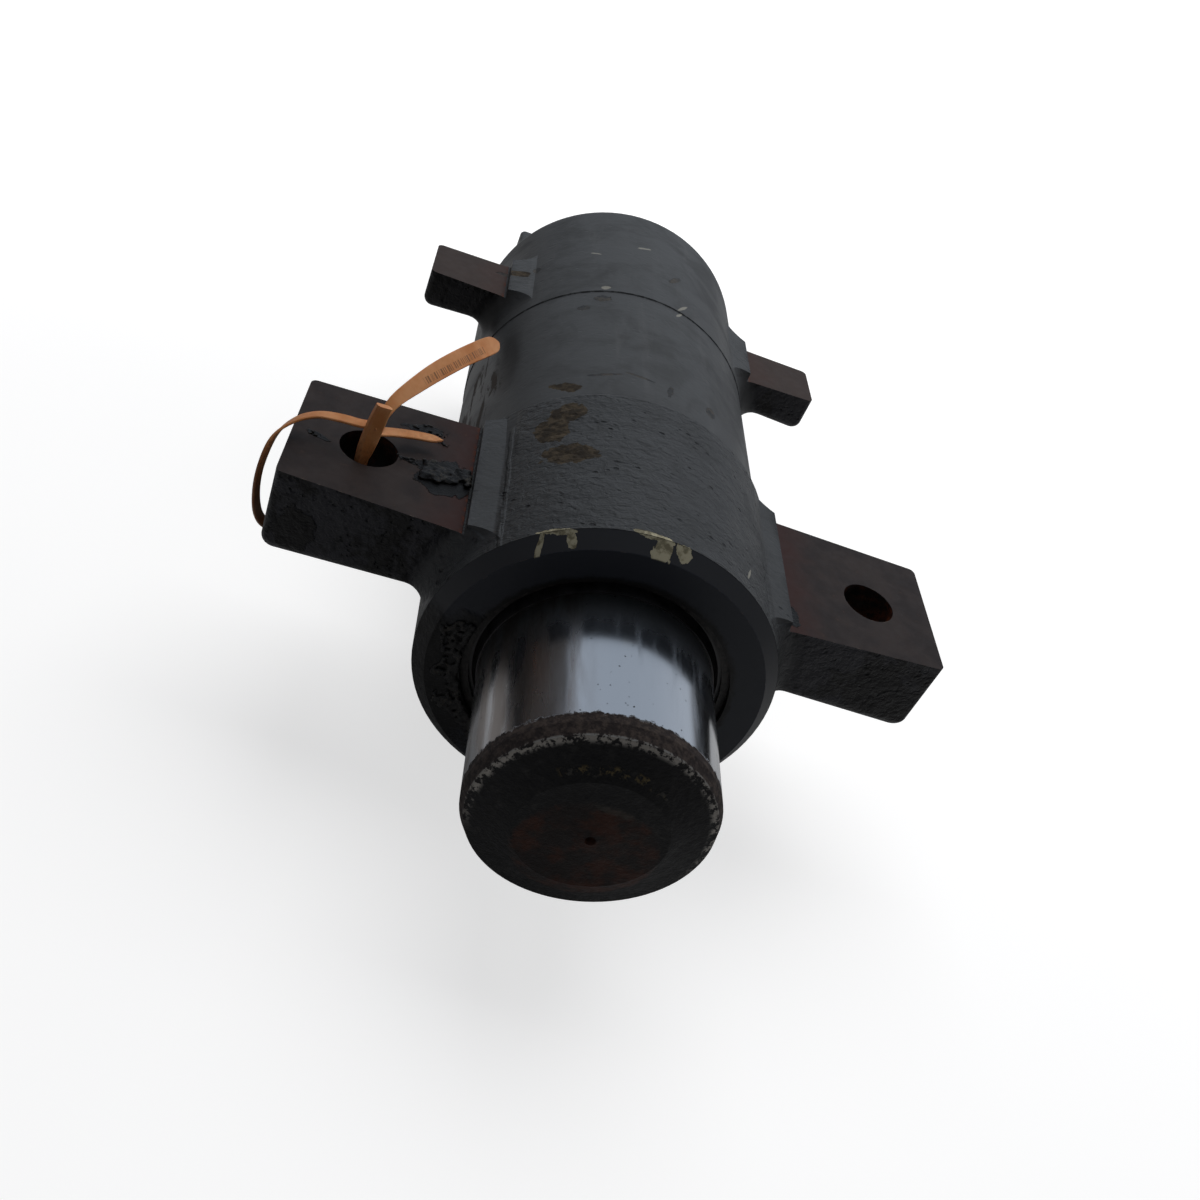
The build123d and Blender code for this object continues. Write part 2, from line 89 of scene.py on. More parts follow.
# %% Place the camera
camera_right = Vector((0.93792495, 0.01458355, 0.34653154))
camera_up = Vector((-0.27585765, 0.63698127, 0.71983152))
camera_back = Vector((-0.21023641, -0.77074132, 0.60146361))
lens_data = bpy.data.cameras.new("camera")
lens_data.sensor_width = 36.0
lens_data.lens = 35.34
lens_data.clip_start = 0.01
camera = bpy.data.objects.new("camera", lens_data)
turn = Matrix((camera_right, camera_up, camera_back)).transposed()
camera.matrix_world = Matrix.Translation((-0.11303, -0.41933, 0.28462)) @ turn.to_4x4()
bpy.context.scene.collection.objects.link(camera)
bpy.context.scene.camera = camera
bpy.context.scene.view_settings.view_transform = "Standard"
print("camera", [round(v, 3) for v in camera.location])

# %% [markdown]
# ## Small tools for wiring nodes
# A material is a graph of nodes. Adding each node and link by hand fills pages, so these
# helpers add one node, give its inputs plain values or links, and return the socket that
# comes out. Colours are written as they look on a screen, from 0 to 255, and `tone` turns
# them into the linear light that the renderer counts in.

# %% Helpers that add nodes
def tone(red, green, blue):
    """A screen colour from 0 to 255 as linear light."""
    light = [((v / 255 + 0.055) / 1.055) ** 2.4 if v > 10 else v / 255 / 12.92 for v in (red, green, blue)]
    return (*light, 1.0)


def put(tree, socket, value):
    """Links a socket, or sets its plain value."""
    if isinstance(value, bpy.types.NodeSocket):
        tree.links.new(value, socket)
    else:
        socket.default_value = value


def node(tree, kind, inputs=(), **settings):
    """A new node with its settings and its inputs, by name or by number."""
    made = tree.nodes.new(kind)
    for name, value in settings.items():
        setattr(made, name, value)
    for name, value in dict(inputs).items():
        put(tree, made.inputs[name], value)
    return made


def calc(tree, operation, first, second=0.0, third=0.0):
    """One sum of two or three numbers."""
    made = node(tree, "ShaderNodeMath", {0: first, 1: second, 2: third}, operation=operation)
    return made.outputs[0]


def ramp(tree, value, low, high):
    """0 below low, 1 above high, and a soft step between. High may be below low."""
    made = node(tree, "ShaderNodeMapRange", {"Value": value, "From Min": low, "From Max": high},
                interpolation_type="SMOOTHSTEP")
    return made.outputs["Result"]


def both(tree, *masks):
    """Where all masks hold."""
    held = masks[0]
    for mask in masks[1:]:
        held = calc(tree, "MULTIPLY", held, mask)
    return held


def either(tree, *masks):
    """Where any mask holds."""
    held = masks[0]
    for mask in masks[1:]:
        held = calc(tree, "MAXIMUM", held, mask)
    return held


def no(tree, mask):
    """Where a mask doesn't hold."""
    return calc(tree, "SUBTRACT", 1.0, mask)


def over(tree, mask, under, upper):
    """One colour laid over another where the mask holds."""
    made = node(tree, "ShaderNodeMix", data_type="RGBA")
    for number, value in ((0, mask), (6, under), (7, upper)):
        put(tree, made.inputs[number], value)
    return made.outputs[2]


def blend(tree, mask, under, upper):
    """One number in place of another where the mask holds."""
    made = node(tree, "ShaderNodeMix", {0: mask, 2: under, 3: upper}, data_type="FLOAT")
    return made.outputs[0]


def cloud(tree, place, scale, detail=3.0, rough=0.55, bend=0.0):
    """Noise from 0 to 1. The scale counts features per millimetre of place."""
    made = node(tree, "ShaderNodeTexNoise", {
        "Vector": place, "Scale": scale, "Detail": detail, "Roughness": rough, "Distortion": bend})
    return made.outputs["Fac"]


def new_group(name, inputs, outputs):
    """An empty node group with its named sockets, and its input and output nodes."""
    group = bpy.data.node_groups.new(name, "ShaderNodeTree")
    for label, kind, value in inputs:
        made = group.interface.new_socket(label, in_out="INPUT", socket_type=kind)
        made.default_value = value
    for label, kind in outputs:
        group.interface.new_socket(label, in_out="OUTPUT", socket_type=kind)
    return group, group.nodes.new("NodeGroupInput"), group.nodes.new("NodeGroupOutput")


def use(tree, group, inputs=()):
    """Places a group in a tree and returns its outputs."""
    made = tree.nodes.new("ShaderNodeGroup")
    made.node_tree = group
    for name, value in dict(inputs).items():
        put(tree, made.inputs[name], value)
    return made.outputs

# %% [markdown]
# ## The light
# The picture was lit from above and behind: the top of the barrel is grey and what faces the
# viewer is nearly black. One wide lamp hangs over the rear and a weaker one stands to the
# right. The lamps light paint and rust but are left out of mirror images, because chrome
# would show them as hard white squares. What metal reflects is drawn by the world instead: a
# pale sky behind the cylinder, a dark wall on its left and a dim side towards the viewer.

# %% Lamps and world
def soft_lamp(name, place, aim, width, height, power):
    """A large area lamp that points at a spot and isn't seen in mirror images."""
    data = bpy.data.lights.new(name, "AREA")
    data.shape = "RECTANGLE"
    data.size, data.size_y, data.energy = width, height, power
    lamp = bpy.data.objects.new(name, data)
    lamp.location = place
    lamp.rotation_euler = (Vector(aim) - Vector(place)).to_track_quat("-Z", "Y").to_euler()
    lamp.visible_glossy = False
    bpy.context.scene.collection.objects.link(lamp)
    return lamp


middle = (0.0, 0.08, -0.04)
soft_lamp("lamp_over", (0.1, 0.75, 1.35), middle, 1.6, 1.2, 17.0)
soft_lamp("lamp_right", (1.2, 0.5, 0.6), middle, 0.9, 0.9, 3.2)

world = bpy.data.worlds.new("world")
bpy.context.scene.world = world
world.use_nodes = True
tree = world.node_tree
tree.nodes.clear()
seen = node(tree, "ShaderNodeLightPath")
toward = node(tree, "ShaderNodeSeparateXYZ", {0: node(tree, "ShaderNodeTexCoord").outputs["Generated"]}).outputs
open_sky = ramp(tree, toward["Z"], 0.02, 0.14)
behind = ramp(tree, calc(tree, "MULTIPLY_ADD", toward["Z"], 0.8, toward["Y"]), -0.1, 0.5)
wall_edge = calc(tree, "MULTIPLY_ADD", toward["Y"], 0.60, toward["X"])
wall_end = calc(tree, "MULTIPLY_ADD", toward["Y"], 3.7, toward["X"])
wall = both(tree, ramp(tree, wall_edge, 0.02, -0.02), ramp(tree, wall_end, -0.3, 0.2),
            ramp(tree, toward["Z"], 0.62, 0.5))
bright = both(tree, open_sky, behind, no(tree, wall))
sky_tone = over(tree, ramp(tree, toward["Z"], 0.1, 0.8), tone(196, 204, 214), tone(176, 186, 198))
mirror = node(tree, "ShaderNodeBackground", {"Color": over(tree, bright, tone(72, 68, 66), sky_tone)})
plain = node(tree, "ShaderNodeBackground", {"Color": tone(255, 255, 255)})
ambient = node(tree, "ShaderNodeBackground", {"Color": tone(236, 240, 250), "Strength": 0.12})
lit = node(tree, "ShaderNodeMixShader", {0: seen.outputs["Is Glossy Ray"], 1: ambient.outputs[0],
                                         2: mirror.outputs[0]})
shown = calc(tree, "MAXIMUM", seen.outputs["Is Camera Ray"], seen.outputs["Is Transmission Ray"])
final = node(tree, "ShaderNodeMixShader", {0: shown, 1: lit.outputs[0], 2: plain.outputs[0]})
node(tree, "ShaderNodeOutputWorld", {0: final.outputs[0]})

# %% [markdown]
# ## The floor
# The cylinder lies on plain pale ground. The sheet is far larger than the object so that no
# view shows its edge. To the camera it glows, little near the object and more far away, which
# takes it to white and still leaves the soft shadow under the barrel. Metal sees a tenth of
# that glow.

# %% Floor
sheet = bpy.data.meshes.new("floor")
reach = 12.0
sheet.from_pydata([(x, y, floor_level - 0.0005) for x, y in
                   ((-reach, -reach), (reach, -reach), (reach, reach), (-reach, reach))], [], [(0, 1, 2, 3)])
floor = bpy.data.objects.new("floor", sheet)
bpy.context.scene.collection.objects.link(floor)
ground = bpy.data.materials.new("pale_ground")
ground.use_nodes = True
tree = ground.node_tree
tree.nodes.clear()
seen = node(tree, "ShaderNodeLightPath").outputs
far_off = node(tree, "ShaderNodeVectorMath", {0: node(tree, "ShaderNodeTexCoord").outputs["Object"]},
               operation="LENGTH").outputs["Value"]
share = blend(tree, ramp(tree, far_off, 0.35, 1.1), 0.66, 1.0)
watched = calc(tree, "MULTIPLY_ADD", seen["Is Glossy Ray"], 0.1, seen["Is Camera Ray"])
matt = node(tree, "ShaderNodeBsdfDiffuse", {"Color": tone(196, 196, 196)})
glow = node(tree, "ShaderNodeEmission", {"Color": tone(255, 255, 255), "Strength": both(tree, watched, share)})
lifted = node(tree, "ShaderNodeAddShader", {0: matt.outputs[0], 1: glow.outputs[0]})
node(tree, "ShaderNodeOutputMaterial", {0: lifted.outputs[0]})
sheet.materials.append(ground)
print("floor reaches", reach, "m")

# %% [markdown]
# ## Shared effects: a chart of the barrel
# Marks on a barrel are easiest to place as on a label peeled off it: how far round, how far
# along, and how deep. This group turns a point of the object into that chart, in millimetres.
# Round the barrel it counts from the top, positive to the right.

# %% Group: barrel chart
chart, _, chart_out = new_group("barrel_chart", [], [("Chart", "NodeSocketVector"), ("Radius", "NodeSocketFloat"),
                                                     ("Place", "NodeSocketVector")])
coords = node(chart, "ShaderNodeTexCoord")
place = node(chart, "ShaderNodeVectorMath", {0: coords.outputs["Object"], "Scale": 1000.0}, operation="SCALE")
part_of = node(chart, "ShaderNodeSeparateXYZ", {0: place.outputs[0]})
height = calc(chart, "ADD", part_of.outputs["Z"], AXIS_DROP)
around = calc(chart, "MULTIPLY", calc(chart, "ARCTAN2", part_of.outputs["X"], height), BARREL_RADIUS)
radius = calc(chart, "SQRT", calc(chart, "ADD", calc(chart, "MULTIPLY", part_of.outputs["X"], part_of.outputs["X"]),
                                  calc(chart, "MULTIPLY", height, height)))
label = node(chart, "ShaderNodeCombineXYZ", {0: around, 1: part_of.outputs["Y"], 2: 0.0})
put(chart, chart_out.inputs["Chart"], label.outputs[0])
put(chart, chart_out.inputs["Radius"], radius)
put(chart, chart_out.inputs["Place"], place.outputs[0])
print("group", chart.name)

# %% [markdown]
# ## Shared effects: a ragged patch
# Flaked paint, chips, smears and grease all have an outline that starts as an oval and is
# torn by noise. The group measures how far a point lies from an oval's middle, counted in
# half sizes, adds noise to the distance, and gives 1 inside the torn outline.

# %% Group: ragged patch
patch, patch_in, patch_out = new_group("ragged_patch", [
    ("Chart", "NodeSocketVector", (0, 0, 0)), ("Middle", "NodeSocketVector", (0, 0, 0)),
    ("Half Size", "NodeSocketVector", (1, 1, 1)), ("Tilt", "NodeSocketFloat", 0.0),
    ("Tear", "NodeSocketFloat", 0.6), ("Tear Scale", "NodeSocketFloat", 0.2),
    ("Softness", "NodeSocketFloat", 0.05)], [("Mask", "NodeSocketFloat")])
asked = patch_in.outputs
away = node(patch, "ShaderNodeVectorMath", {0: asked["Chart"], 1: asked["Middle"]}, operation="SUBTRACT")
turned = node(patch, "ShaderNodeVectorRotate", {"Vector": away.outputs[0], "Angle": asked["Tilt"]},
              rotation_type="Z_AXIS")
sized = node(patch, "ShaderNodeVectorMath", {0: turned.outputs[0], 1: asked["Half Size"]}, operation="DIVIDE")
reached = node(patch, "ShaderNodeVectorMath", {0: sized.outputs[0]}, operation="LENGTH").outputs["Value"]
torn = cloud(patch, asked["Chart"], asked["Tear Scale"], 5.0, 0.62, 0.4)
shifted = calc(patch, "MULTIPLY_ADD", calc(patch, "SUBTRACT", torn, 0.5), calc(patch, "MULTIPLY", asked["Tear"], 2.0),
               reached)
low_edge = calc(patch, "SUBTRACT", 1.0, asked["Softness"])
high_edge = calc(patch, "ADD", 1.0, asked["Softness"])
put(patch, patch_out.inputs["Mask"], no(patch, ramp(patch, shifted, low_edge, high_edge)))
print("group", patch.name)


def torn_patch(tree, chart_place, middle, half, tilt=0.0, tear=0.6, scale=0.2, soft=0.05):
    """One ragged patch; middle and half size in millimetres on the chart, tilt in degrees."""
    return use(tree, patch, {"Chart": chart_place, "Middle": (*middle, 0.0), "Half Size": (*half, 1.0),
                             "Tilt": math.radians(tilt), "Tear": tear, "Tear Scale": scale,
                             "Softness": soft})["Mask"]


# %% [markdown]
# ## Shared effects: cast skin
# Iron cast in sand comes out with a skin like orange peel, with small pits where grains
# broke off. Two noises of different size make the peel, and a cell pattern makes the pits.
# The group gives the height, and a mask of the pits for the dirt that fills them.

# %% Group: cast skin
skin, skin_in, skin_out = new_group("cast_skin", [
    ("Place", "NodeSocketVector", (0, 0, 0)), ("Peel Scale", "NodeSocketFloat", 0.35),
    ("Stretch", "NodeSocketVector", (1, 1, 1)), ("Pit Depth", "NodeSocketFloat", 0.5)],
    [("Height", "NodeSocketFloat"), ("Pits", "NodeSocketFloat")])
asked = skin_in.outputs
drawn = node(skin, "ShaderNodeVectorMath", {0: asked["Place"], 1: asked["Stretch"]}, operation="MULTIPLY").outputs[0]
peel = cloud(skin, drawn, asked["Peel Scale"], 3.0, 0.6, 0.6)
lumps = cloud(skin, drawn, calc(skin, "MULTIPLY", asked["Peel Scale"], 0.3), 2.0, 0.5)
cells = node(skin, "ShaderNodeTexVoronoi", {"Vector": drawn, "Scale": calc(skin, "MULTIPLY", asked["Peel Scale"], 0.9)})
sparse = ramp(skin, cloud(skin, asked["Place"], 0.08, 2.0), 0.5, 0.62)
pits = both(skin, no(skin, ramp(skin, cells.outputs["Distance"], 0.12, 0.3)), sparse)
relief = calc(skin, "ADD", peel, calc(skin, "MULTIPLY", lumps, 0.8))
put(skin, skin_out.inputs["Height"], calc(skin, "SUBTRACT", relief, calc(skin, "MULTIPLY", pits, asked["Pit Depth"])))
put(skin, skin_out.inputs["Pits"], pits)
print("group", skin.name)

# %% [markdown]
# ## Shared effects: worn edges
# Paint and dirt leave an edge first. The Bevel node gives the surface direction as if every
# edge were rounded, so where it departs from the true direction there is an edge nearby.
# Noise breaks the line up, because real wear comes and goes. The casting also uses this mask
# for a lighter line that is partly a painted highlight of its edges.

# %% Group: worn edge
worn, worn_in, worn_out = new_group("worn_edge", [
    ("Width", "NodeSocketFloat", 0.6), ("Amount", "NodeSocketFloat", 0.5), ("Place", "NodeSocketVector", (0, 0, 0))],
    [("Mask", "NodeSocketFloat")])
asked = worn_in.outputs
rounded = node(worn, "ShaderNodeBevel", {"Radius": calc(worn, "MULTIPLY", asked["Width"], MM)}, samples=6)
facing = node(worn, "ShaderNodeNewGeometry")
alike = node(worn, "ShaderNodeVectorMath", {0: rounded.outputs[0], 1: facing.outputs["Normal"]},
             operation="DOT_PRODUCT").outputs["Value"]
near_edge = ramp(worn, alike, 0.985, 0.86)
broken = cloud(worn, asked["Place"], 0.25, 4.0, 0.65)
kept = ramp(worn, calc(worn, "ADD", broken, calc(worn, "SUBTRACT", asked["Amount"], 0.5)), 0.46, 0.56)
put(worn, worn_out.inputs["Mask"], both(worn, near_edge, kept))
print("group", worn.name)

# %% [markdown]
# ## A start for each material
# Each material ends in one Principled BSDF. This helper makes the material and returns its
# graph, with the chart of the barrel already placed in it.

# %% Start a material
def start(name, **plain):
    """A new material, its graph, its shader and the barrel chart's outputs."""
    made = bpy.data.materials.new(name)
    made.use_nodes = True
    made.node_tree.nodes.clear()
    shader = node(made.node_tree, "ShaderNodeBsdfPrincipled", plain)
    node(made.node_tree, "ShaderNodeOutputMaterial", {0: shader.outputs[0]})
    return made, made.node_tree, shader, use(made.node_tree, chart)


def raise_by(tree, height, distance, strength=1.0, under=None):
    """A surface direction tilted by a height; distance in millimetres for a height of 1."""
    made = node(tree, "ShaderNodeBump", {"Height": height, "Distance": distance * MM, "Strength": strength})
    if under is not None:
        put(tree, made.inputs["Normal"], under)
    return made.outputs[0]


def dress(name, material):
    """Gives a CAD node its material."""
    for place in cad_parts[name].material_slots:
        place.link = "OBJECT"
        place.material = material
    print(name, "wears", material.name)


# %% [markdown]
# ## The casting
# The housing is one iron casting, painted satin dark grey. Machining has cut some faces
# bare: the tops of the ears are brown with thin rust, the front face and its chamfer are
# smooth under the paint, and the recess round the plunger is full of black grease. The node is
# a single mesh, so one material tells these places apart by where they are: by height, by
# distance from the axis and from the bolt holes, and by which way they face.

# %% Casting: tell its places apart
casting, tree, shader, at = start("casting_paint", **{"Specular IOR Level": 0.25})
label, depth, spot = at["Chart"], at["Radius"], at["Place"]
xyz = node(tree, "ShaderNodeSeparateXYZ", {0: spot}).outputs
arc = node(tree, "ShaderNodeSeparateXYZ", {0: label}).outputs["X"]
normal = node(tree, "ShaderNodeSeparateXYZ", {0: node(tree, "ShaderNodeNewGeometry").outputs["True Normal"]}).outputs
side = calc(tree, "ABSOLUTE", xyz["X"])
level = calc(tree, "ABSOLUTE", xyz["Z"])
is_face = both(tree, ramp(tree, level, 0.35, 0.25), ramp(tree, side, SHOULDER - 0.2, SHOULDER + 0.1),
               ramp(tree, normal["Z"], 0.97, 0.99))
is_rear = ramp(tree, xyz["Y"], STEP_AT, STEP_AT + 2.0)
hole_side = calc(tree, "SUBTRACT", side, BOLT_SIDE)
from_hole = calc(tree, "SQRT", calc(tree, "ADD", calc(tree, "MULTIPLY", hole_side, hole_side),
                                    calc(tree, "MULTIPLY", xyz["Y"], xyz["Y"])))
is_hole = both(tree, ramp(tree, from_hole, 12.9, 12.6), ramp(tree, xyz["Z"], -0.1, -0.4))
is_front = both(tree, ramp(tree, xyz["Y"], CHAMFER_END + 0.15, CHAMFER_END - 0.15),
                ramp(tree, depth, RECESS_RADIUS - 0.4, RECESS_RADIUS + 0.1))
is_chamfer = both(tree, is_front, ramp(tree, xyz["Y"], FRONT_FACE + 0.1, FRONT_FACE + 0.3))
is_recess = both(tree, ramp(tree, depth, RECESS_RADIUS + 2.5, RECESS_RADIUS + 0.05),
                 ramp(tree, xyz["Y"], REAR_WALL + 5.0, REAR_WALL))
is_ear = both(tree, ramp(tree, depth, 84.0, 92.0), no(tree, is_face))
is_section = both(tree, ramp(tree, xyz["Y"], STEP_AT + 0.1, STEP_AT - 0.1), no(tree, is_front), no(tree, is_face))
is_flank = both(tree, ramp(tree, side, 57.0, 59.5), ramp(tree, xyz["Z"], 3.0, 4.5), ramp(tree, depth, 79.0, 80.5))
bare = either(tree, is_face, is_front, is_recess, is_hole)
print("places of the casting told apart")

# %% [markdown]
# The cast skin is strongest on the front section and on the ears' sides, and nearly gone on
# the middle of the barrel, which someone once turned smooth. A raised line runs along the
# left of the front section, where two halves of the mould met.

# %% Casting: its relief
peel = use(tree, skin, {"Place": spot, "Peel Scale": 0.24, "Stretch": (0.8, 1.15, 0.8), "Pit Depth": 0.5})
rough_peel = use(tree, skin, {"Place": spot, "Peel Scale": 0.34, "Stretch": (1.0, 1.0, 1.0), "Pit Depth": 1.5})
peel_share = calc(tree, "MULTIPLY", no(tree, bare), blend(tree, is_section, 0.10, 1.0))
peel_share = blend(tree, is_flank, peel_share, 0.30)
ear_share = both(tree, is_ear, no(tree, bare))
seam_wave = calc(tree, "MULTIPLY", cloud(tree, spot, 0.09, 2.0), 3.0)
from_seam = calc(tree, "ABSOLUTE", calc(tree, "ADD", calc(tree, "ADD", arc, 67.6), calc(tree, "MULTIPLY", seam_wave, -1.0)))
seam = both(tree, ramp(tree, from_seam, 1.5, 0.4), is_section, ramp(tree, xyz["Y"], 36.0, 30.0))
cast_height = calc(tree, "ADD", calc(tree, "MULTIPLY", peel["Height"], calc(tree, "MULTIPLY", peel_share, 1.5)),
                   calc(tree, "ADD", calc(tree, "MULTIPLY", rough_peel["Height"], calc(tree, "MULTIPLY", ear_share, 1.1)),
                        calc(tree, "MULTIPLY", seam, 0.5)))
print("cast relief made")

# %% [markdown]
# Scars are placed on the chart of the barrel. Two patches of paint and filler have flaked off
# and left brown ground, cream primer shows in chips along the front chamfer, and rows of small
# marks cross the smooth middle. Each patch has its own tear, so no two look stamped.

# %% Casting: flakes, chips and scratches
flake = either(
    tree,
    torn_patch(tree, label, (-41.0, 33.0), (10.0, 7.0), -22, 0.8, 0.13, 0.015),
    torn_patch(tree, label, (-47.5, 21.0), (7.0, 10.0), -18, 0.8, 0.13, 0.015),
    torn_patch(tree, label, (-38.5, 1.5), (12.5, 7.0), 8, 0.8, 0.15, 0.015),
    torn_patch(tree, label, (-42.5, 61.0), (8.0, 3.6), 25, 0.9, 0.17, 0.015),
    torn_patch(tree, label, (-73.0, 199.0), (4.5, 3.6), 0, 0.7, 0.25, 0.03))
flake = both(tree, flake, ramp(tree, depth, 77.0, 78.0))
on_chamfer = both(tree, ramp(tree, xyz["Y"], FRONT_FACE + 9.0, FRONT_FACE + 7.5), ramp(tree, depth, 71.5, 72.5))
chips = either(
    tree,
    torn_patch(tree, label, (-3.0, -50.5), (9.5, 1.7), 6, 0.9, 0.22, 0.02),
    torn_patch(tree, label, (1.0, -54.5), (4.6, 4.4), -20, 0.9, 0.22, 0.02),
    torn_patch(tree, label, (10.0, -52.8), (3.6, 2.4), 20, 0.9, 0.25, 0.02),
    torn_patch(tree, label, (-42.0, -51.0), (7.5, 1.2), 6, 1.0, 0.3, 0.03),
    torn_patch(tree, label, (-36.5, -54.2), (2.2, 2.4), 0, 0.9, 0.3, 0.03),
    torn_patch(tree, label, (-50.5, -55.0), (1.1, 6.0), 38, 0.6, 0.3, 0.05))
chips = both(tree, chips, on_chamfer)
specks = either(
    tree,
    torn_patch(tree, spot, (-31.0, 0.0), (6.5, 60.0), 0, 0.0, 0.3, 0.02),
    torn_patch(tree, spot, (-20.0, 0.0), (2.5, 60.0), 0, 0.0, 0.3, 0.02))
fleck = cloud(tree, spot, 0.55, 5.0, 0.7)
specks = both(tree, specks, is_front, ramp(tree, xyz["Z"], 8.5, 9.5), ramp(tree, xyz["Z"], 16.5, 15.5),
              ramp(tree, fleck, 0.60, 0.63), ramp(tree, xyz["Y"], FRONT_FACE + 0.3, FRONT_FACE + 0.1))
nicks = either(
    tree,
    torn_patch(tree, label, (-27.0, 151.0), (4.6, 3.2), 0, 0.9, 0.25, 0.04),
    torn_patch(tree, label, (-36.5, 141.0), (3.6, 2.6), 0, 0.9, 0.25, 0.04),
    torn_patch(tree, label, (-65.5, 204.0), (2.4, 3.0), 0, 0.8, 0.3, 0.05),
    torn_patch(tree, label, (-80.0, 205.0), (3.2, 2.2), 0, 0.8, 0.3, 0.05),
    torn_patch(tree, label, (31.0, 71.5), (2.8, 4.6), 12, 0.9, 0.25, 0.05),
    torn_patch(tree, label, (7.0, 68.0), (1.4, 5.0), 8, 0.9, 0.3, 0.05),
    torn_patch(tree, label, (-25.0, 70.8), (8.0, 1.0), -10, 1.0, 0.3, 0.03),
    torn_patch(tree, label, (-8.5, 73.2), (8.5, 0.9), 14, 1.0, 0.3, 0.03),
    torn_patch(tree, label, (14.0, 196.0), (1.6, 7.0), 30, 0.9, 0.3, 0.05))
pale_nicks = either(
    tree,
    torn_patch(tree, label, (-25.5, 163.0), (2.6, 1.9), 0, 0.8, 0.3, 0.05),
    torn_patch(tree, label, (18.0, 166.0), (0.9, 6.0), 30, 0.5, 0.3, 0.1),
    torn_patch(tree, label, (15.5, 156.0), (0.8, 3.4), 30, 0.5, 0.3, 0.1),
    torn_patch(tree, label, (-31.0, 207.0), (3.0, 0.7), 20, 0.9, 0.3, 0.1),
    torn_patch(tree, label, (-4.0, 222.0), (4.0, 1.0), -20, 1.0, 0.3, 0.1),
    torn_patch(tree, label, (46.0, -38.0), (0.7, 5.0), 20, 0.6, 0.3, 0.1))
print("flakes, chips and scratches placed")

# %% [markdown]
# Grease and old oil lie where the seal weeps and where hands have been: black on the lower
# left of the front face, round the crust on the left ear and in pitted scabs on the ears' sides.
# Soft dark clouds at the roots of the ears are painted shade in these corners together with old
# oil, and a soft dark strip lies on the left flank near the end of the tag's flag. Brown runs
# cross the left flank behind the front ear. The thick crusts themselves are meshes, made further
# down; here is only the dirt that soaks into the paint round them.

# %% Casting: grease, smudges and painted shade
dirt_cloud = cloud(tree, spot, 0.035, 4.0, 0.6, 0.5)
fine_cloud = cloud(tree, spot, 0.22, 4.0, 0.65)
face_grease = both(
    tree, is_front,
    ramp(tree, calc(tree, "ADD", xyz["X"], calc(tree, "MULTIPLY", fine_cloud, 26.0)), -28.0, -36.0),
    ramp(tree, calc(tree, "ADD", xyz["Z"], calc(tree, "MULTIPLY", dirt_cloud, 30.0)), -4.0, -14.0))
ear_grease = both(tree, is_face, either(
    tree,
    torn_patch(tree, spot, (-83.0, -4.5), (14.0, 13.0), 8, 0.5, 0.12, 0.03),
    torn_patch(tree, spot, (-97.0, 27.0), (9.0, 3.0), -12, 0.9, 0.2, 0.05),
    torn_patch(tree, spot, (-98.0, 0.0), (7.0, 1.6), 10, 0.8, 0.2, 0.1),
    torn_patch(tree, spot, (-139.0, -1.5), (5.0, 1.6), 20, 0.9, 0.2, 0.1),
    torn_patch(tree, spot, (76.0, -28.0), (2.6, 6.5), 0, 0.8, 0.3, 0.05)))
scab = both(tree, ear_share, either(
    tree,
    torn_patch(tree, node(tree, "ShaderNodeCombineXYZ", {0: xyz["X"], 1: xyz["Z"]}).outputs[0],
               (-138.0, -28.0), (9.0, 13.0), 0, 0.9, 0.12, 0.1),
    torn_patch(tree, node(tree, "ShaderNodeCombineXYZ", {0: xyz["X"], 1: xyz["Z"]}).outputs[0],
               (139.0, -30.0), (12.0, 10.0), 0, 1.1, 0.14, 0.1)))
low_dirt = both(tree, is_ear, ramp(tree, calc(tree, "ADD", dirt_cloud, calc(tree, "MULTIPLY", fine_cloud, 0.3)),
                                   0.62, 0.74))
recess_dirt = both(tree, is_front, ramp(tree, calc(tree, "SUBTRACT", depth, calc(tree, "MULTIPLY", fine_cloud, 5.0)),
                                        58.2, 55.6))
grease = either(tree, face_grease, ear_grease, scab, low_dirt, recess_dirt, is_recess)
# Soft dark clouds at the ear roots are painted shade in these corners, together with old oil; a soft dark strip lies on
# the left flank near the end of the tag's flag.
root_oil_and_shade = both(tree, no(tree, bare), either(
    tree,
    torn_patch(tree, label, (-101.0, 184.0), (20.0, 30.0), 0, 0.6, 0.05, 0.35),
    torn_patch(tree, label, (-78.0, 110.0), (8.0, 30.0), 0, 0.4, 0.05, 0.45),
    torn_patch(tree, label, (86.0, 40.0), (12.0, 30.0), 0, 0.6, 0.05, 0.4)))
long_place = node(tree, "ShaderNodeVectorMath", {0: label, 1: (1.0, 0.16, 1.0)}, operation="MULTIPLY").outputs[0]
runs = both(tree, no(tree, bare), ramp(tree, cloud(tree, long_place, 0.16, 5.0, 0.68, 0.4), 0.50, 0.58),
            torn_patch(tree, label, (-98.0, 88.0), (17.0, 46.0), 0, 0.5, 0.06, 0.1))
smudge = both(tree, ramp(tree, dirt_cloud, 0.42, 0.72), no(tree, bare))
streak = cloud(tree, node(tree, "ShaderNodeVectorMath", {0: spot, 1: (1.0, 0.12, 1.0)},
                          operation="MULTIPLY").outputs[0], 0.12, 4.0, 0.6)
# Darker in patches at the foot of the step and along the band's groove.
dark_at_step = both(tree, ramp(tree, xyz["Y"], STEP_AT - 0.6, STEP_AT - 0.1), ramp(tree, xyz["Y"], STEP_AT + 2.4, STEP_AT + 0.6),
                 ramp(tree, depth, 82.5, 81.0), ramp(tree, calc(tree, "ADD", fine_cloud, dirt_cloud), 0.80, 0.95))
dark_along_band = both(tree, ramp(tree, calc(tree, "ABSOLUTE", calc(tree, "SUBTRACT", xyz["Y"], BAND_AT)), 0.9, 0.3),
                 ramp(tree, fine_cloud, 0.44, 0.52), ramp(tree, depth, 80.5, 79.5))
print("grease laid on")

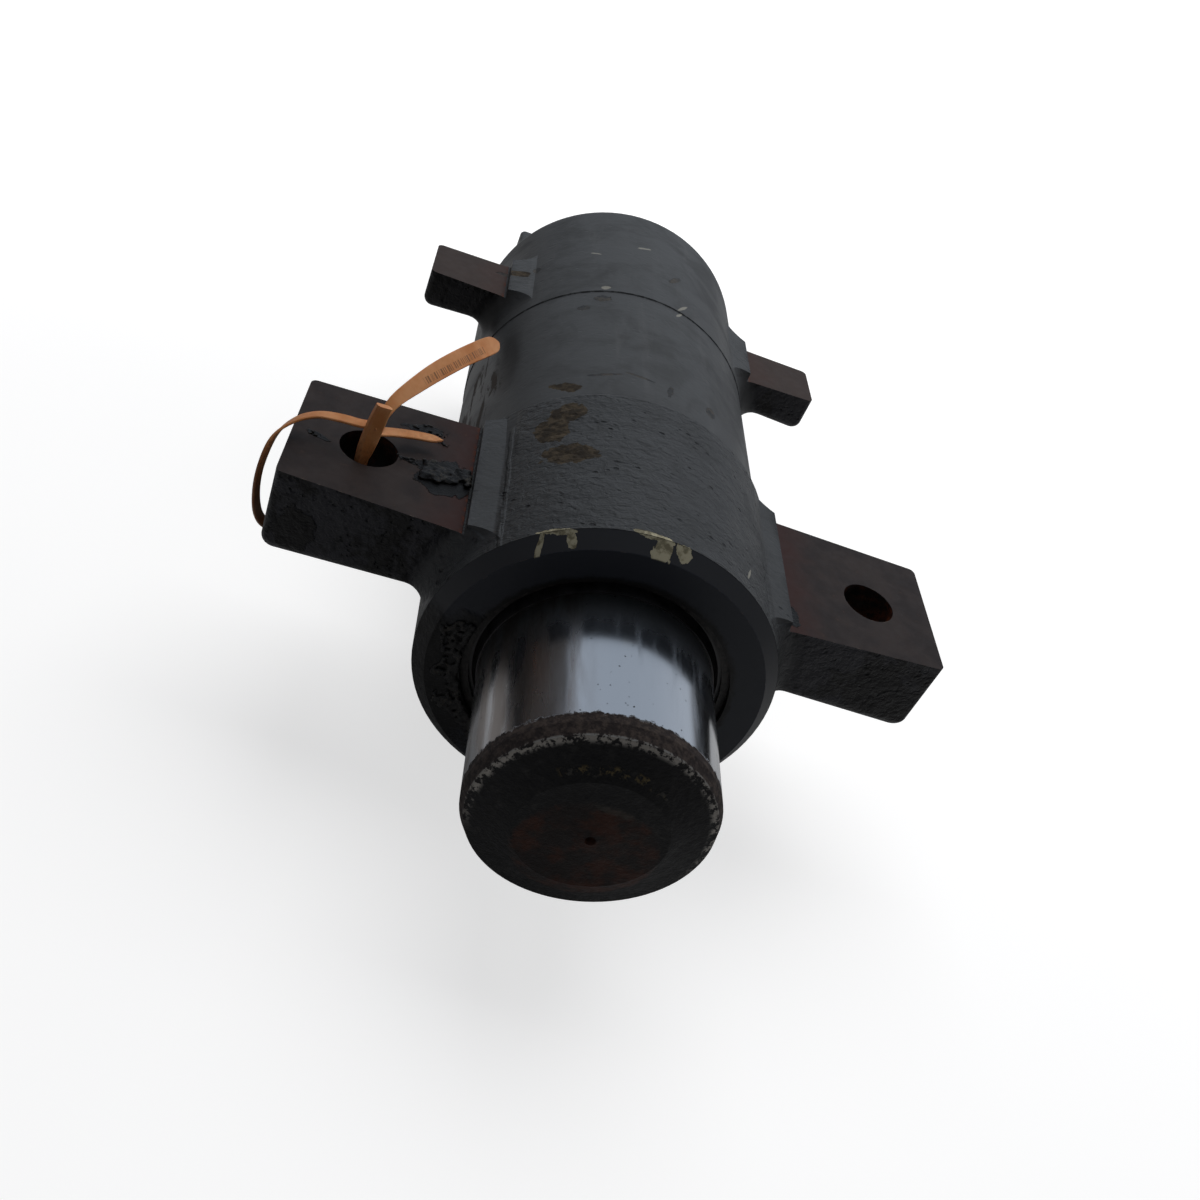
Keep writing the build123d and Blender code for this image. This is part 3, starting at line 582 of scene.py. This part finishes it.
# %% [markdown]
# Colours are laid over each other like coats: paint, then what covers it. The machined faces
# are rusty brown and redder near the shoulder, the bores are darker rust, and flakes show
# brown ground with dark rims. Roughness follows the same masks, because satin paint, dry
# rust and wet grease differ more in their gloss than in their colour.

# %% Casting: colours of the coats
paint = over(tree, calc(tree, "MULTIPLY", smudge, 0.4), tone(63, 64, 65), tone(50, 50, 50))
paint = over(tree, calc(tree, "MULTIPLY", ramp(tree, streak, 0.55, 0.75), 0.22), paint, tone(92, 92, 92))
paint = over(tree, is_section, paint, over(tree, peel["Pits"], tone(57, 58, 59), tone(34, 34, 35)))
paint = over(tree, ear_share, paint, over(tree, rough_peel["Pits"], tone(42, 42, 46), tone(14, 13, 14)))
paint = over(tree, is_front, paint, tone(40, 43, 49))
paint = over(tree, is_chamfer, paint, tone(47, 48, 51))
# Painted shade with old oil at the ear roots, and the dark strip on the left flank.
paint = over(tree, calc(tree, "MULTIPLY", root_oil_and_shade, 0.7), paint, tone(26, 24, 23))
paint = over(tree, calc(tree, "MULTIPLY", runs, 0.8), paint, tone(50, 42, 36))
# Darker in patches at the step and along the band.
paint = over(tree, calc(tree, "MULTIPLY", either(tree, dark_at_step, dark_along_band), 0.8), paint, tone(22, 22, 22))
rust_cloud = cloud(tree, spot, 0.06, 5.0, 0.6, 0.3)
face_rust = over(tree, ramp(tree, rust_cloud, 0.38, 0.66), tone(47, 39, 36), tone(36, 29, 27))
face_rust = over(tree, ramp(tree, calc(tree, "ADD", side, calc(tree, "MULTIPLY", rust_cloud, 30.0)), 112.0, 88.0),
                 face_rust, tone(50, 30, 26))
face_rust = over(tree, calc(tree, "MULTIPLY", is_rear, 0.5), face_rust, tone(66, 54, 48))
face_rust = over(tree, calc(tree, "MULTIPLY", ramp(tree, fine_cloud, 0.62, 0.75), 0.4), face_rust, tone(78, 62, 54))
corner_rust = both(tree, ramp(tree, calc(tree, "ADD", side, calc(tree, "MULTIPLY", fine_cloud, 4.0)), 77.4, 74.6),
                   ramp(tree, fine_cloud, 0.46, 0.6))
face_rust = over(tree, calc(tree, "MULTIPLY", corner_rust, 0.8), face_rust, tone(96, 46, 20))
coat = over(tree, is_face, paint, face_rust)
coat = over(tree, is_hole, coat, over(tree, ramp(tree, fine_cloud, 0.4, 0.62), tone(24, 14, 10), tone(84, 40, 18)))
flake_ground = over(tree, ramp(tree, fine_cloud, 0.38, 0.6), tone(72, 64, 53), tone(44, 39, 33))
coat = over(tree, flake, coat, flake_ground)
primer = over(tree, ramp(tree, fine_cloud, 0.45, 0.62), tone(168, 162, 138), tone(110, 104, 84))
coat = over(tree, either(tree, chips, specks), coat, primer)
coat = over(tree, calc(tree, "MULTIPLY", nicks, 0.85), coat, over(tree, ramp(tree, fine_cloud, 0.4, 0.6), tone(60, 54, 46),
                                                                   tone(30, 30, 31)))
coat = over(tree, pale_nicks, coat, tone(128, 126, 118))
print("coats mixed")

# %% [markdown]
# Edges come last: a lighter line along the ears and the rims, broken by noise, which is partly
# bare worn metal and partly a painted highlight of the edges; then the grease over everything.

# %% Casting: edges, gloss and relief
edge_wear_and_highlight = use(tree, worn, {"Place": spot, "Width": 0.8, "Amount": 0.42})["Mask"]
edge_wear_and_highlight = both(tree, edge_wear_and_highlight, no(tree, is_recess), either(tree, is_ear, is_face, is_front))
# A lighter line along the edges: partly bare worn metal, partly a painted highlight of the edges.
coat = over(tree, calc(tree, "MULTIPLY", edge_wear_and_highlight, 0.6), coat, tone(108, 98, 90))
coat = over(tree, grease, coat, tone(11, 10, 10))
put(tree, shader.inputs["Base Color"], coat)
gloss = blend(tree, smudge, 0.46, 0.60)
gloss = blend(tree, is_face, gloss, calc(tree, "MULTIPLY_ADD", fine_cloud, 0.25, 0.45))
gloss = blend(tree, either(tree, flake, is_hole, runs), gloss, 0.85)
gloss = blend(tree, grease, gloss, calc(tree, "MULTIPLY_ADD", fine_cloud, 0.35, 0.30))
put(tree, shader.inputs["Roughness"], gloss)
soaked = calc(tree, "MULTIPLY", either(tree, face_grease, ear_grease, scab), calc(tree, "ADD", fine_cloud, 0.4))
cut = calc(tree, "MULTIPLY", either(tree, flake, chips, nicks), -0.35)
relief = calc(tree, "ADD", calc(tree, "ADD", cast_height, calc(tree, "MULTIPLY", soaked, 0.9)),
              calc(tree, "ADD", cut, calc(tree, "MULTIPLY", both(tree, flake, fine_cloud), 0.6)))
put(tree, shader.inputs["Normal"], raise_by(tree, relief, 1.0))
dress("housing", casting)

# %% [markdown]
# ## The chromed plunger
# Hard chrome is a thin bright metal that shows what is round it. Its own colour is one pale
# silver; a brown tint on its left is a painted reflection over a grease smear, a darker tone near
# the seal is painted shade, and the rest of the drawing comes from roughness: wiped grease blurs
# it in soft patches.
# Before the chamfer the chrome has gone and a ragged band of brown rust takes its place, the
# end is black with a rusty disc where it pushed on the axle, and a bright nicked line
# remains along the chamfer's rim.

# %% Plunger: places and stains
chrome, tree, shader, at = start("plunger_chrome", **{"Specular IOR Level": 0.2})
label, depth, spot = at["Chart"], at["Radius"], at["Place"]
xyz = node(tree, "ShaderNodeSeparateXYZ", {0: spot}).outputs
along = xyz["Y"]
arc = node(tree, "ShaderNodeSeparateXYZ", {0: label}).outputs["X"]
across = node(tree, "ShaderNodeCombineXYZ", {0: xyz["X"], 1: xyz["Z"]}).outputs[0]
long_cloud = cloud(tree, node(tree, "ShaderNodeVectorMath", {0: label, 1: (1.0, 0.22, 1.0)},
                              operation="MULTIPLY").outputs[0], 0.055, 4.0, 0.6, 0.2)
fine_cloud = cloud(tree, spot, 0.35, 5.0, 0.68)
torn_line = calc(tree, "MULTIPLY", fine_cloud, 7.0)
is_band = ramp(tree, calc(tree, "ADD", along, torn_line), ROD_RIM + 8.0, ROD_RIM + 7.4)
is_end = ramp(tree, along, ROD_CROWN + 0.4, ROD_CROWN - 0.4)
is_rim = both(tree, ramp(tree, calc(tree, "ABSOLUTE", calc(tree, "SUBTRACT", along, ROD_CROWN)), 1.0, 0.3),
              ramp(tree, fine_cloud, 0.47, 0.54), ramp(tree, xyz["Z"], -66.0, -40.0))
is_side = no(tree, either(tree, is_band, is_end))
smear = both(tree, is_side, ramp(tree, long_cloud, 0.48, 0.70))
# Brown on the left of the chrome: a grease smear in the gloss and a painted brown reflection in the colour.
left_smear_and_reflection = both(tree, is_side, ramp(tree, arc, -20.0, -46.0), ramp(tree, long_cloud, 0.34, 0.62))
seal_shade = both(tree, is_side, ramp(tree, calc(tree, "ADD", along, calc(tree, "MULTIPLY", long_cloud, 16.0)),
                                      FRONT_FACE - 16.0, FRONT_FACE + 2.0))
pit = torn_patch(tree, spot, (-29.1, -93.0), (1.6, 1.9), 0, 0.5, 0.4, 0.1)
pit = both(tree, pit, ramp(tree, xyz["Z"], -20.0, -10.0))
dots = both(tree, is_side, ramp(tree, cloud(tree, spot, 0.5, 2.0, 0.5), 0.735, 0.75))
print("places of the plunger told apart")

# %% [markdown]
# The end has pushed a hardened pad for years: a disc of dark rust lies a little below its
# middle, a crust of old grease and grit has been squeezed out above it, and a lighter grey
# patch on the disc's upper edge is a painted highlight.

# %% Plunger: colour and gloss
disc_reach = node(tree, "ShaderNodeVectorMath", {0: node(tree, "ShaderNodeVectorMath", {
    0: across, 1: (1.0, -53.4, 0.0)}, operation="SUBTRACT").outputs[0]}, operation="LENGTH").outputs["Value"]
disc = ramp(tree, calc(tree, "ADD", disc_reach, calc(tree, "MULTIPLY", fine_cloud, 7.0)), 33.5, 30.5)
squeezed = both(tree, is_end, ramp(tree, calc(tree, "ABSOLUTE", calc(tree, "SUBTRACT", calc(
    tree, "ADD", depth, calc(tree, "MULTIPLY", long_cloud, 6.0)), 37.5)), 2.2, 0.8),
    ramp(tree, fine_cloud, 0.50, 0.56), torn_patch(tree, across, (-1.0, -12.0), (22.0, 11.0), 0, 0.4, 0.1, 0.1))
# Painted highlight: a lighter grey patch along the upper edge of the rusty disc.
disc_edge_highlight = torn_patch(tree, across, (3.0, -25.0), (9.0, 3.4), 10, 0.8, 0.15, 0.25)
rust = over(tree, ramp(tree, fine_cloud, 0.42, 0.62), tone(40, 35, 34), tone(66, 58, 54))
black = over(tree, ramp(tree, cloud(tree, spot, 0.12, 5.0, 0.65), 0.54, 0.70), tone(14, 14, 15), tone(38, 37, 36))
red = over(tree, ramp(tree, cloud(tree, spot, 0.09, 4.0, 0.6), 0.42, 0.66), tone(24, 16, 13), tone(58, 27, 12))
red = over(tree, calc(tree, "MULTIPLY", disc_edge_highlight, 0.6), red, tone(66, 64, 58))
# Painted brown reflection on the left of the chrome.
shade = over(tree, calc(tree, "MULTIPLY", left_smear_and_reflection, 0.7), tone(192, 195, 200), tone(128, 114, 104))
shade = over(tree, calc(tree, "MULTIPLY", seal_shade, 0.7), shade, tone(60, 54, 50))
shade = over(tree, either(tree, pit, dots), shade, tone(14, 12, 11))
shade = over(tree, is_band, shade, rust)
shade = over(tree, is_end, shade, over(tree, disc, black, red))
shade = over(tree, squeezed, shade, over(tree, ramp(tree, long_cloud, 0.45, 0.55), tone(96, 84, 56), tone(64, 62, 58)))
shade = over(tree, is_rim, shade, tone(150, 146, 140))
put(tree, shader.inputs["Base Color"], shade)
metal = both(tree, is_side, no(tree, either(tree, pit, dots)))
put(tree, shader.inputs["Metallic"], either(tree, metal, is_rim))
gloss = blend(tree, smear, 0.15, 0.30)
gloss = blend(tree, left_smear_and_reflection, gloss, 0.32)
gloss = blend(tree, seal_shade, gloss, 0.42)
gloss = blend(tree, is_band, gloss, 0.78)
gloss = blend(tree, is_end, gloss, calc(tree, "MULTIPLY_ADD", fine_cloud, 0.4, 0.35))
put(tree, shader.inputs["Roughness"], gloss)
scars = calc(tree, "MULTIPLY", either(tree, is_band, is_end), calc(tree, "MULTIPLY", fine_cloud, 0.9))
scars = calc(tree, "SUBTRACT", calc(tree, "ADD", scars, calc(tree, "MULTIPLY", squeezed, 0.8)),
             calc(tree, "MULTIPLY", either(tree, pit, dots), 0.4))
put(tree, shader.inputs["Normal"], raise_by(tree, scars, 1.0))
dress("plunger", chrome)

# %% [markdown]
# ## Seals, rings and fittings
# Most of these sit inside, yet each has its own finish, because a part can be opened up and
# looked into. One helper makes them: a base colour that varies in a slow cloud, a fine
# grain in the gloss, and a little relief. Rubber is matt and black, moulded plastic is
# smoother, spring steel is oiled and dark, and plated steel has a warm tint.

# %% Small materials
def small_finish(name, light, dark, gloss, metal=0.0, scale=0.15, relief=0.05, edge_tone=None):
    """A material with a slow change of colour and a fine grain."""
    made, tree, shader, at = start(name, **{"Metallic": metal})
    slow = cloud(tree, at["Place"], scale, 4.0, 0.6)
    fine = cloud(tree, at["Place"], scale * 7.0, 3.0, 0.6)
    shade = over(tree, ramp(tree, slow, 0.38, 0.66), light, dark)
    if edge_tone is not None:
        bright = use(tree, worn, {"Place": at["Place"], "Width": 0.5, "Amount": 0.5})["Mask"]
        shade = over(tree, calc(tree, "MULTIPLY", bright, 0.8), shade, edge_tone)
    put(tree, shader.inputs["Base Color"], shade)
    put(tree, shader.inputs["Roughness"], calc(tree, "MULTIPLY_ADD", fine, 0.2, gloss - 0.1))
    put(tree, shader.inputs["Normal"], raise_by(tree, calc(tree, "ADD", slow, fine), relief))
    return made


rubber = small_finish("matt_rubber", tone(30, 30, 31), tone(20, 20, 20), 0.7)
seal_skin = small_finish("seal_polyurethane", tone(40, 39, 40), tone(20, 19, 19), 0.35)
spring_steel = small_finish("spring_steel", tone(112, 108, 104), tone(70, 66, 62), 0.36, 1.0)
greasy_steel = small_finish("greasy_steel", tone(44, 42, 40), tone(16, 15, 15), 0.38, 0.5, 0.3, 0.1)
guide_fabric = small_finish("guide_fabric", tone(150, 112, 74), tone(118, 84, 54), 0.6, 0.0, 0.6, 0.08)
backup_plastic = small_finish("backup_plastic", tone(198, 194, 178), tone(176, 170, 152), 0.45)
slide_plastic = small_finish("slide_plastic", tone(122, 104, 80), tone(98, 82, 62), 0.5)
plated_steel = small_finish("plated_steel", tone(86, 84, 80), tone(52, 50, 47), 0.5, 0.6, 0.12, 0.1,
                            tone(150, 146, 138))
bonded_ring = small_finish("bonded_ring", tone(96, 94, 92), tone(62, 60, 58), 0.5, 0.8)
for name, finish in (
        ("stop_ring", spring_steel), ("wiper_case", greasy_steel), ("wiper_lip", seal_skin),
        ("wiper_retaining_ring", greasy_steel), ("rod_seal", seal_skin), ("rod_seal_spreader", rubber),
        ("rod_seal_backup_ring", backup_plastic), ("buffer_seal_ring", slide_plastic),
        ("buffer_seal_o_ring", rubber), ("guide_ring_front", guide_fabric),
        ("guide_ring_middle", guide_fabric), ("guide_ring_rear", guide_fabric),
        ("port_adapter", plated_steel), ("port_adapter_seal", bonded_ring),
        ("bleed_screw", plated_steel), ("bleed_cap", rubber)):
    dress(name, finish)

# %% [markdown]
# ## The tag
# A tag hangs in the left bolt hole: a flat tie of hard orange plastic that is looped round the
# ear's end and pulled through its own lock, with a long flag that springs up from the lock and
# a cut point that sticks out on the other side. The flag carries plain bars. Flat ties keep
# their width where a round tube wouldn't, so the mesh is made by walking along a smooth path
# and setting a thin rounded section at each step. For each point of the path a second
# direction says which way the tie's width lies.

# %% Helpers that sweep a flat tie
def smooth_path(points, steps):
    """Points along a Catmull-Rom curve through the given ones."""
    known = [Vector(p) for p in points]
    known = [2 * known[0] - known[1], *known, 2 * known[-1] - known[-2]]
    found = []
    for a, b, c, d in zip(known, known[1:], known[2:], known[3:]):
        for step in range(steps):
            t = step / steps
            found.append(0.5 * (2 * b + (c - a) * t + (2 * a - 5 * b + 4 * c - d) * t * t
                                + (3 * b - a - 3 * c + d) * t ** 3))
    return [*found, known[-2]]


def flat_tie(name, points, sideways, widths, thickness, material, steps=8):
    """A thin band swept along a path, in millimetres; widths and width directions by point."""
    path = smooth_path(points, steps)
    leans = smooth_path(sideways, steps)
    breadths = [v.x for v in smooth_path([(w, 0.0, 0.0) for w in widths], steps)]
    made = bmesh.new()
    rings = []
    for number, (middle, lean, breadth) in enumerate(zip(path, leans, breadths)):
        ahead = path[min(number + 1, len(path) - 1)] - path[max(number - 1, 0)]
        ahead.normalize()
        across = (lean - ahead * lean.dot(ahead)).normalized()
        out = ahead.cross(across)
        half, rise = max(breadth, 0.4) / 2, thickness / 2
        cut = rise * 0.55
        section = [(half, rise - cut), (half - cut, rise), (cut - half, rise), (-half, rise - cut),
                   (-half, cut - rise), (cut - half, -rise), (half - cut, -rise), (half, cut - rise)]
        rings.append([made.verts.new((middle + across * u + out * v) * MM) for u, v in section])
    for near, far in zip(rings, rings[1:]):
        for number in range(len(near)):
            after = (number + 1) % len(near)
            made.faces.new((near[number], near[after], far[after], far[number]))
    made.faces.new(rings[0])
    made.faces.new(list(reversed(rings[-1])))
    bmesh.ops.recalc_face_normals(made, faces=made.faces)
    mesh = bpy.data.meshes.new(name)
    made.to_mesh(mesh)
    made.free()
    mesh.polygons.foreach_set("use_smooth", [True] * len(mesh.polygons))
    mesh.set_sharp_from_angle(angle=math.radians(35))
    piece = bpy.data.objects.new(name, mesh)
    bpy.context.scene.collection.objects.link(piece)
    mesh.materials.append(material)
    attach(piece, "housing_body")
    print(name, "length", round(sum((b - a).length for a, b in zip(path, path[1:]))), "mm")
    return piece

# %% [markdown]
# The plastic is orange and slightly see-through, so light softens its shadows. It is darker
# towards the bottom. The bars on the flag are a wave along the flag that noise makes uneven; they
# are kept to a strip on its upper side and stop before the round end.

# %% Tag plastic
def tag_plastic(name, barred):
    """Orange moulded plastic that is darker towards the bottom, with bars if the piece is the flag."""
    made, tree, shader, at = start(name, **{"Roughness": 0.42, "Specular IOR Level": 0.35,
                                            "Subsurface Weight": 0.08, "Subsurface Scale": 0.002})
    spot = at["Place"]
    slow = cloud(tree, spot, 0.06, 4.0, 0.6)
    fine = cloud(tree, spot, 0.5, 4.0, 0.65)
    shade = over(tree, ramp(tree, slow, 0.36, 0.66), tone(206, 146, 98), tone(184, 118, 66))
    xyz = node(tree, "ShaderNodeSeparateXYZ", {0: spot}).outputs
    # Darker towards the bottom of the tag.
    low = ramp(tree, calc(tree, "ADD", xyz["Z"], calc(tree, "MULTIPLY", fine, 16.0)), 18.0, 4.0)
    shade = over(tree, calc(tree, "MULTIPLY", low, 0.7), shade, tone(96, 52, 24))
    if barred:
        forward = node(tree, "ShaderNodeVectorMath", {0: spot, 1: FLAG_AHEAD}, operation="DOT_PRODUCT").outputs["Value"]
        upward = node(tree, "ShaderNodeVectorMath", {0: spot, 1: FLAG_ACROSS}, operation="DOT_PRODUCT").outputs["Value"]
        forward = calc(tree, "SUBTRACT", forward, FLAG_START.dot(FLAG_AHEAD))
        upward = calc(tree, "SUBTRACT", upward, FLAG_START.dot(FLAG_ACROSS))
        uneven = cloud(tree, node(tree, "ShaderNodeCombineXYZ", {0: forward}).outputs[0], 0.9, 2.0, 0.7)
        bars = both(tree, ramp(tree, uneven, 0.50, 0.52), ramp(tree, forward, 16.0, 16.5), ramp(tree, forward, 62.0, 61.5),
                    ramp(tree, upward, -0.4, -0.1), ramp(tree, upward, 3.0, 2.7))
        shade = over(tree, calc(tree, "MULTIPLY", bars, 0.75), shade, tone(92, 66, 44))
    put(tree, shader.inputs["Base Color"], shade)
    put(tree, shader.inputs["Normal"], raise_by(tree, calc(tree, "ADD", slow, calc(tree, "MULTIPLY", fine, 0.3)), 0.25))
    return made


FLAG_START, FLAG_END = Vector((-112.5, 12.0, 19.0)), Vector((-75.2, 78.0, 25.0))
FLAG_AHEAD = (FLAG_END - FLAG_START).normalized()
FLAG_ACROSS = Vector((-0.72, 0.37, 0.59)).normalized()
plain_tag, barred_tag = tag_plastic("tag_plastic", False), tag_plastic("tag_flag_plastic", True)
print("tag plastic made")

# %% Tag: strap, lock, flag and tail
flag_points = [(-117.2, -4.0, 13.5), (-115.3, 4.6, 15.2), FLAG_START, (-106.0, 23.5, 22.5), (-98.4, 37.0, 25.0),
               (-89.0, 53.0, 26.5), (-80.0, 69.0, 26.0), (-76.6, 75.0, 25.4), FLAG_END]
flag_widths = (3.6, 4.2, 5.6, 7.2, 8.3, 8.6, 8.6, 6.8, 1.4)
flat_tie("tag_flag", flag_points, [FLAG_ACROSS] * len(flag_points), flag_widths, 1.1, barred_tag)
strap_points = [(-116.5, -4.0, 14.5), (-124.0, -3.0, 12.6), (-132.0, -1.5, 11.2), (-141.0, -1.5, 9.4),
                (-149.0, -6.0, 6.4), (-154.6, -13.5, 1.0), (-156.4, -21.0, -9.0), (-155.8, -22.5, -22.0),
                (-153.4, -18.0, -36.0), (-148.6, -11.0, -45.4), (-139.5, -6.0, -47.2), (-129.0, -5.0, -45.6),
                (-121.8, -5.0, -39.0), (-119.0, -6.0, -27.0), (-118.6, -7.0, -13.0), (-118.4, -7.2, 0.0)]
strap_leans = [(0.2, 1.0, 0.1)] * 3 + [(0.3, 1.0, 0.0)] * 3 + [(0.3, 1.0, -0.1)] * 3 + [(0.1, 1.0, 0.0)] * 4 \
    + [(0.7, 0.7, 0.0)] * 3
flat_tie("tag_strap", strap_points, strap_leans, [5.2] * len(strap_points), 1.2, plain_tag)
lock_points = [(-119.6, -9.0, -3.0), (-118.6, -6.6, 6.0), (-117.4, -4.0, 16.0), (-116.2, -2.2, 23.5)]
flat_tie("tag_lock", lock_points, [(0.9, 0.45, -0.25)] * 4, (4.6, 7.4, 7.6, 7.0), 3.6, plain_tag)
tail_points = [(-117.0, -1.5, 10.0), (-110.0, 5.5, 7.6), (-101.0, 10.6, 6.2), (-93.0, 12.6, 6.0), (-88.7, 13.4, 6.0)]
flat_tie("tag_tail", tail_points, [(0.55, -1.0, -0.1)] * 5, (5.2, 5.2, 5.2, 4.6, 0.6), 1.2, plain_tag)

# %% [markdown]
# ## Crusts of old grease
# Grease that has caught grit for years stands a few millimetres thick. A relief in the
# material can't give it an outline, so it is made as a mesh: many small flattened lumps are
# scattered where the picture shows the crust, and the Remesh modifier melts them into one
# closed skin. The lumps are drawn from a fixed seed, so the crust is the same each time.

# %% Helper that melts lumps into a crust
def crust(name, lumps, flatten, cell):
    """One closed skin round many lumps (middle and radius in millimetres)."""
    made = bmesh.new()
    for middle, radius in lumps:
        turn = Matrix.Diagonal([radius * MM * f for f in flatten]).to_4x4()
        bmesh.ops.create_icosphere(made, subdivisions=1, radius=1.0, matrix=Matrix.Translation(Vector(middle) * MM) @ turn)
    mesh = bpy.data.meshes.new(name)
    made.to_mesh(mesh)
    made.free()
    piece = bpy.data.objects.new(name, mesh)
    bpy.context.scene.collection.objects.link(piece)
    melt = piece.modifiers.new("melt", "REMESH")
    melt.mode = "VOXEL"
    melt.voxel_size = cell * MM
    ready = piece.evaluated_get(bpy.context.evaluated_depsgraph_get())
    piece.data = bpy.data.meshes.new_from_object(ready)
    piece.modifiers.clear()
    piece.data.polygons.foreach_set("use_smooth", [True] * len(piece.data.polygons))
    piece.data.materials.clear()
    piece.data.materials.append(old_grease)
    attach(piece, "housing_body")
    print(name, "faces", len(piece.data.polygons))
    return piece


old_grease, tree, shader, at = start("old_grease", **{"Specular IOR Level": 0.35})
grit = cloud(tree, at["Place"], 0.7, 5.0, 0.7)
grey = cloud(tree, at["Place"], 0.16, 3.0, 0.6)
put(tree, shader.inputs["Base Color"], over(tree, ramp(tree, calc(tree, "ADD", grit, calc(tree, "MULTIPLY", grey, 0.6)),
                                                       0.82, 0.98), tone(13, 12, 12), tone(52, 48, 42)))
put(tree, shader.inputs["Roughness"], calc(tree, "MULTIPLY_ADD", grit, 0.5, 0.22))
put(tree, shader.inputs["Normal"], raise_by(tree, grit, 0.5))
print("grease material made")

# %% [markdown]
# The crust on the front face fills the ring between the recess and the chamfer on the lower
# left, thick by the recess and thin at its outer edge. The one on the left ear is a flat
# cake with a torn top, pressed against the shoulder, with crumbs round it.

# %% Crusts on the front face and the left ear
draw = random.Random(7)
lumps = []
while len(lumps) < 520:
    angle = math.radians(draw.uniform(-148.0, -76.0))
    reached = RECESS_RADIUS + 0.8 + 14.0 * draw.random() ** 1.7
    spread = 15.0 * noise.noise(Vector((math.degrees(angle) * 0.09, reached * 0.16, 3.0)))
    if reached - RECESS_RADIUS > 9.0 + spread:
        continue
    radius = draw.uniform(0.55, 1.5)
    place = (reached * math.sin(angle), FRONT_FACE - draw.uniform(-0.2, 0.9), reached * math.cos(angle) - AXIS_DROP)
    lumps.append((place, radius))
crust("front_grease", lumps, (1.0, 0.75, 1.0), 0.55)

lumps = []
while len(lumps) < 420:
    x, y = draw.uniform(-95.5, -73.5), draw.uniform(-13.0, 5.5)
    ragged = 5.0 * noise.noise(Vector((x * 0.2, y * 0.2, 1.0)))
    if min(x + 95.5, y + 12.0 - 0.25 * (x + 95.5), 5.0 - y) < 1.6 + ragged:
        continue
    layer = 0.9 + 1.3 * noise.noise(Vector((x * 0.16, y * 0.45, 5.0)))
    lumps.append(((x, y, draw.uniform(0.0, max(layer, 0.2) + 0.7)), draw.uniform(0.5, 1.3)))
for near in ((-101.0, 27.5), (-96.5, 31.0), (-91.0, 26.0), (-98.5, 0.0), (-102.0, 1.0), (-139.5, -1.5), (-87.5, 20.0)):
    for _ in range(9):
        spot = (near[0] + draw.gauss(0.0, 1.8), near[1] + draw.gauss(0.0, 0.8), draw.uniform(0.0, 0.4))
        lumps.append((spot, draw.uniform(0.35, 0.9)))
crust("ear_grease", lumps, (1.25, 0.9, 0.75), 0.5)
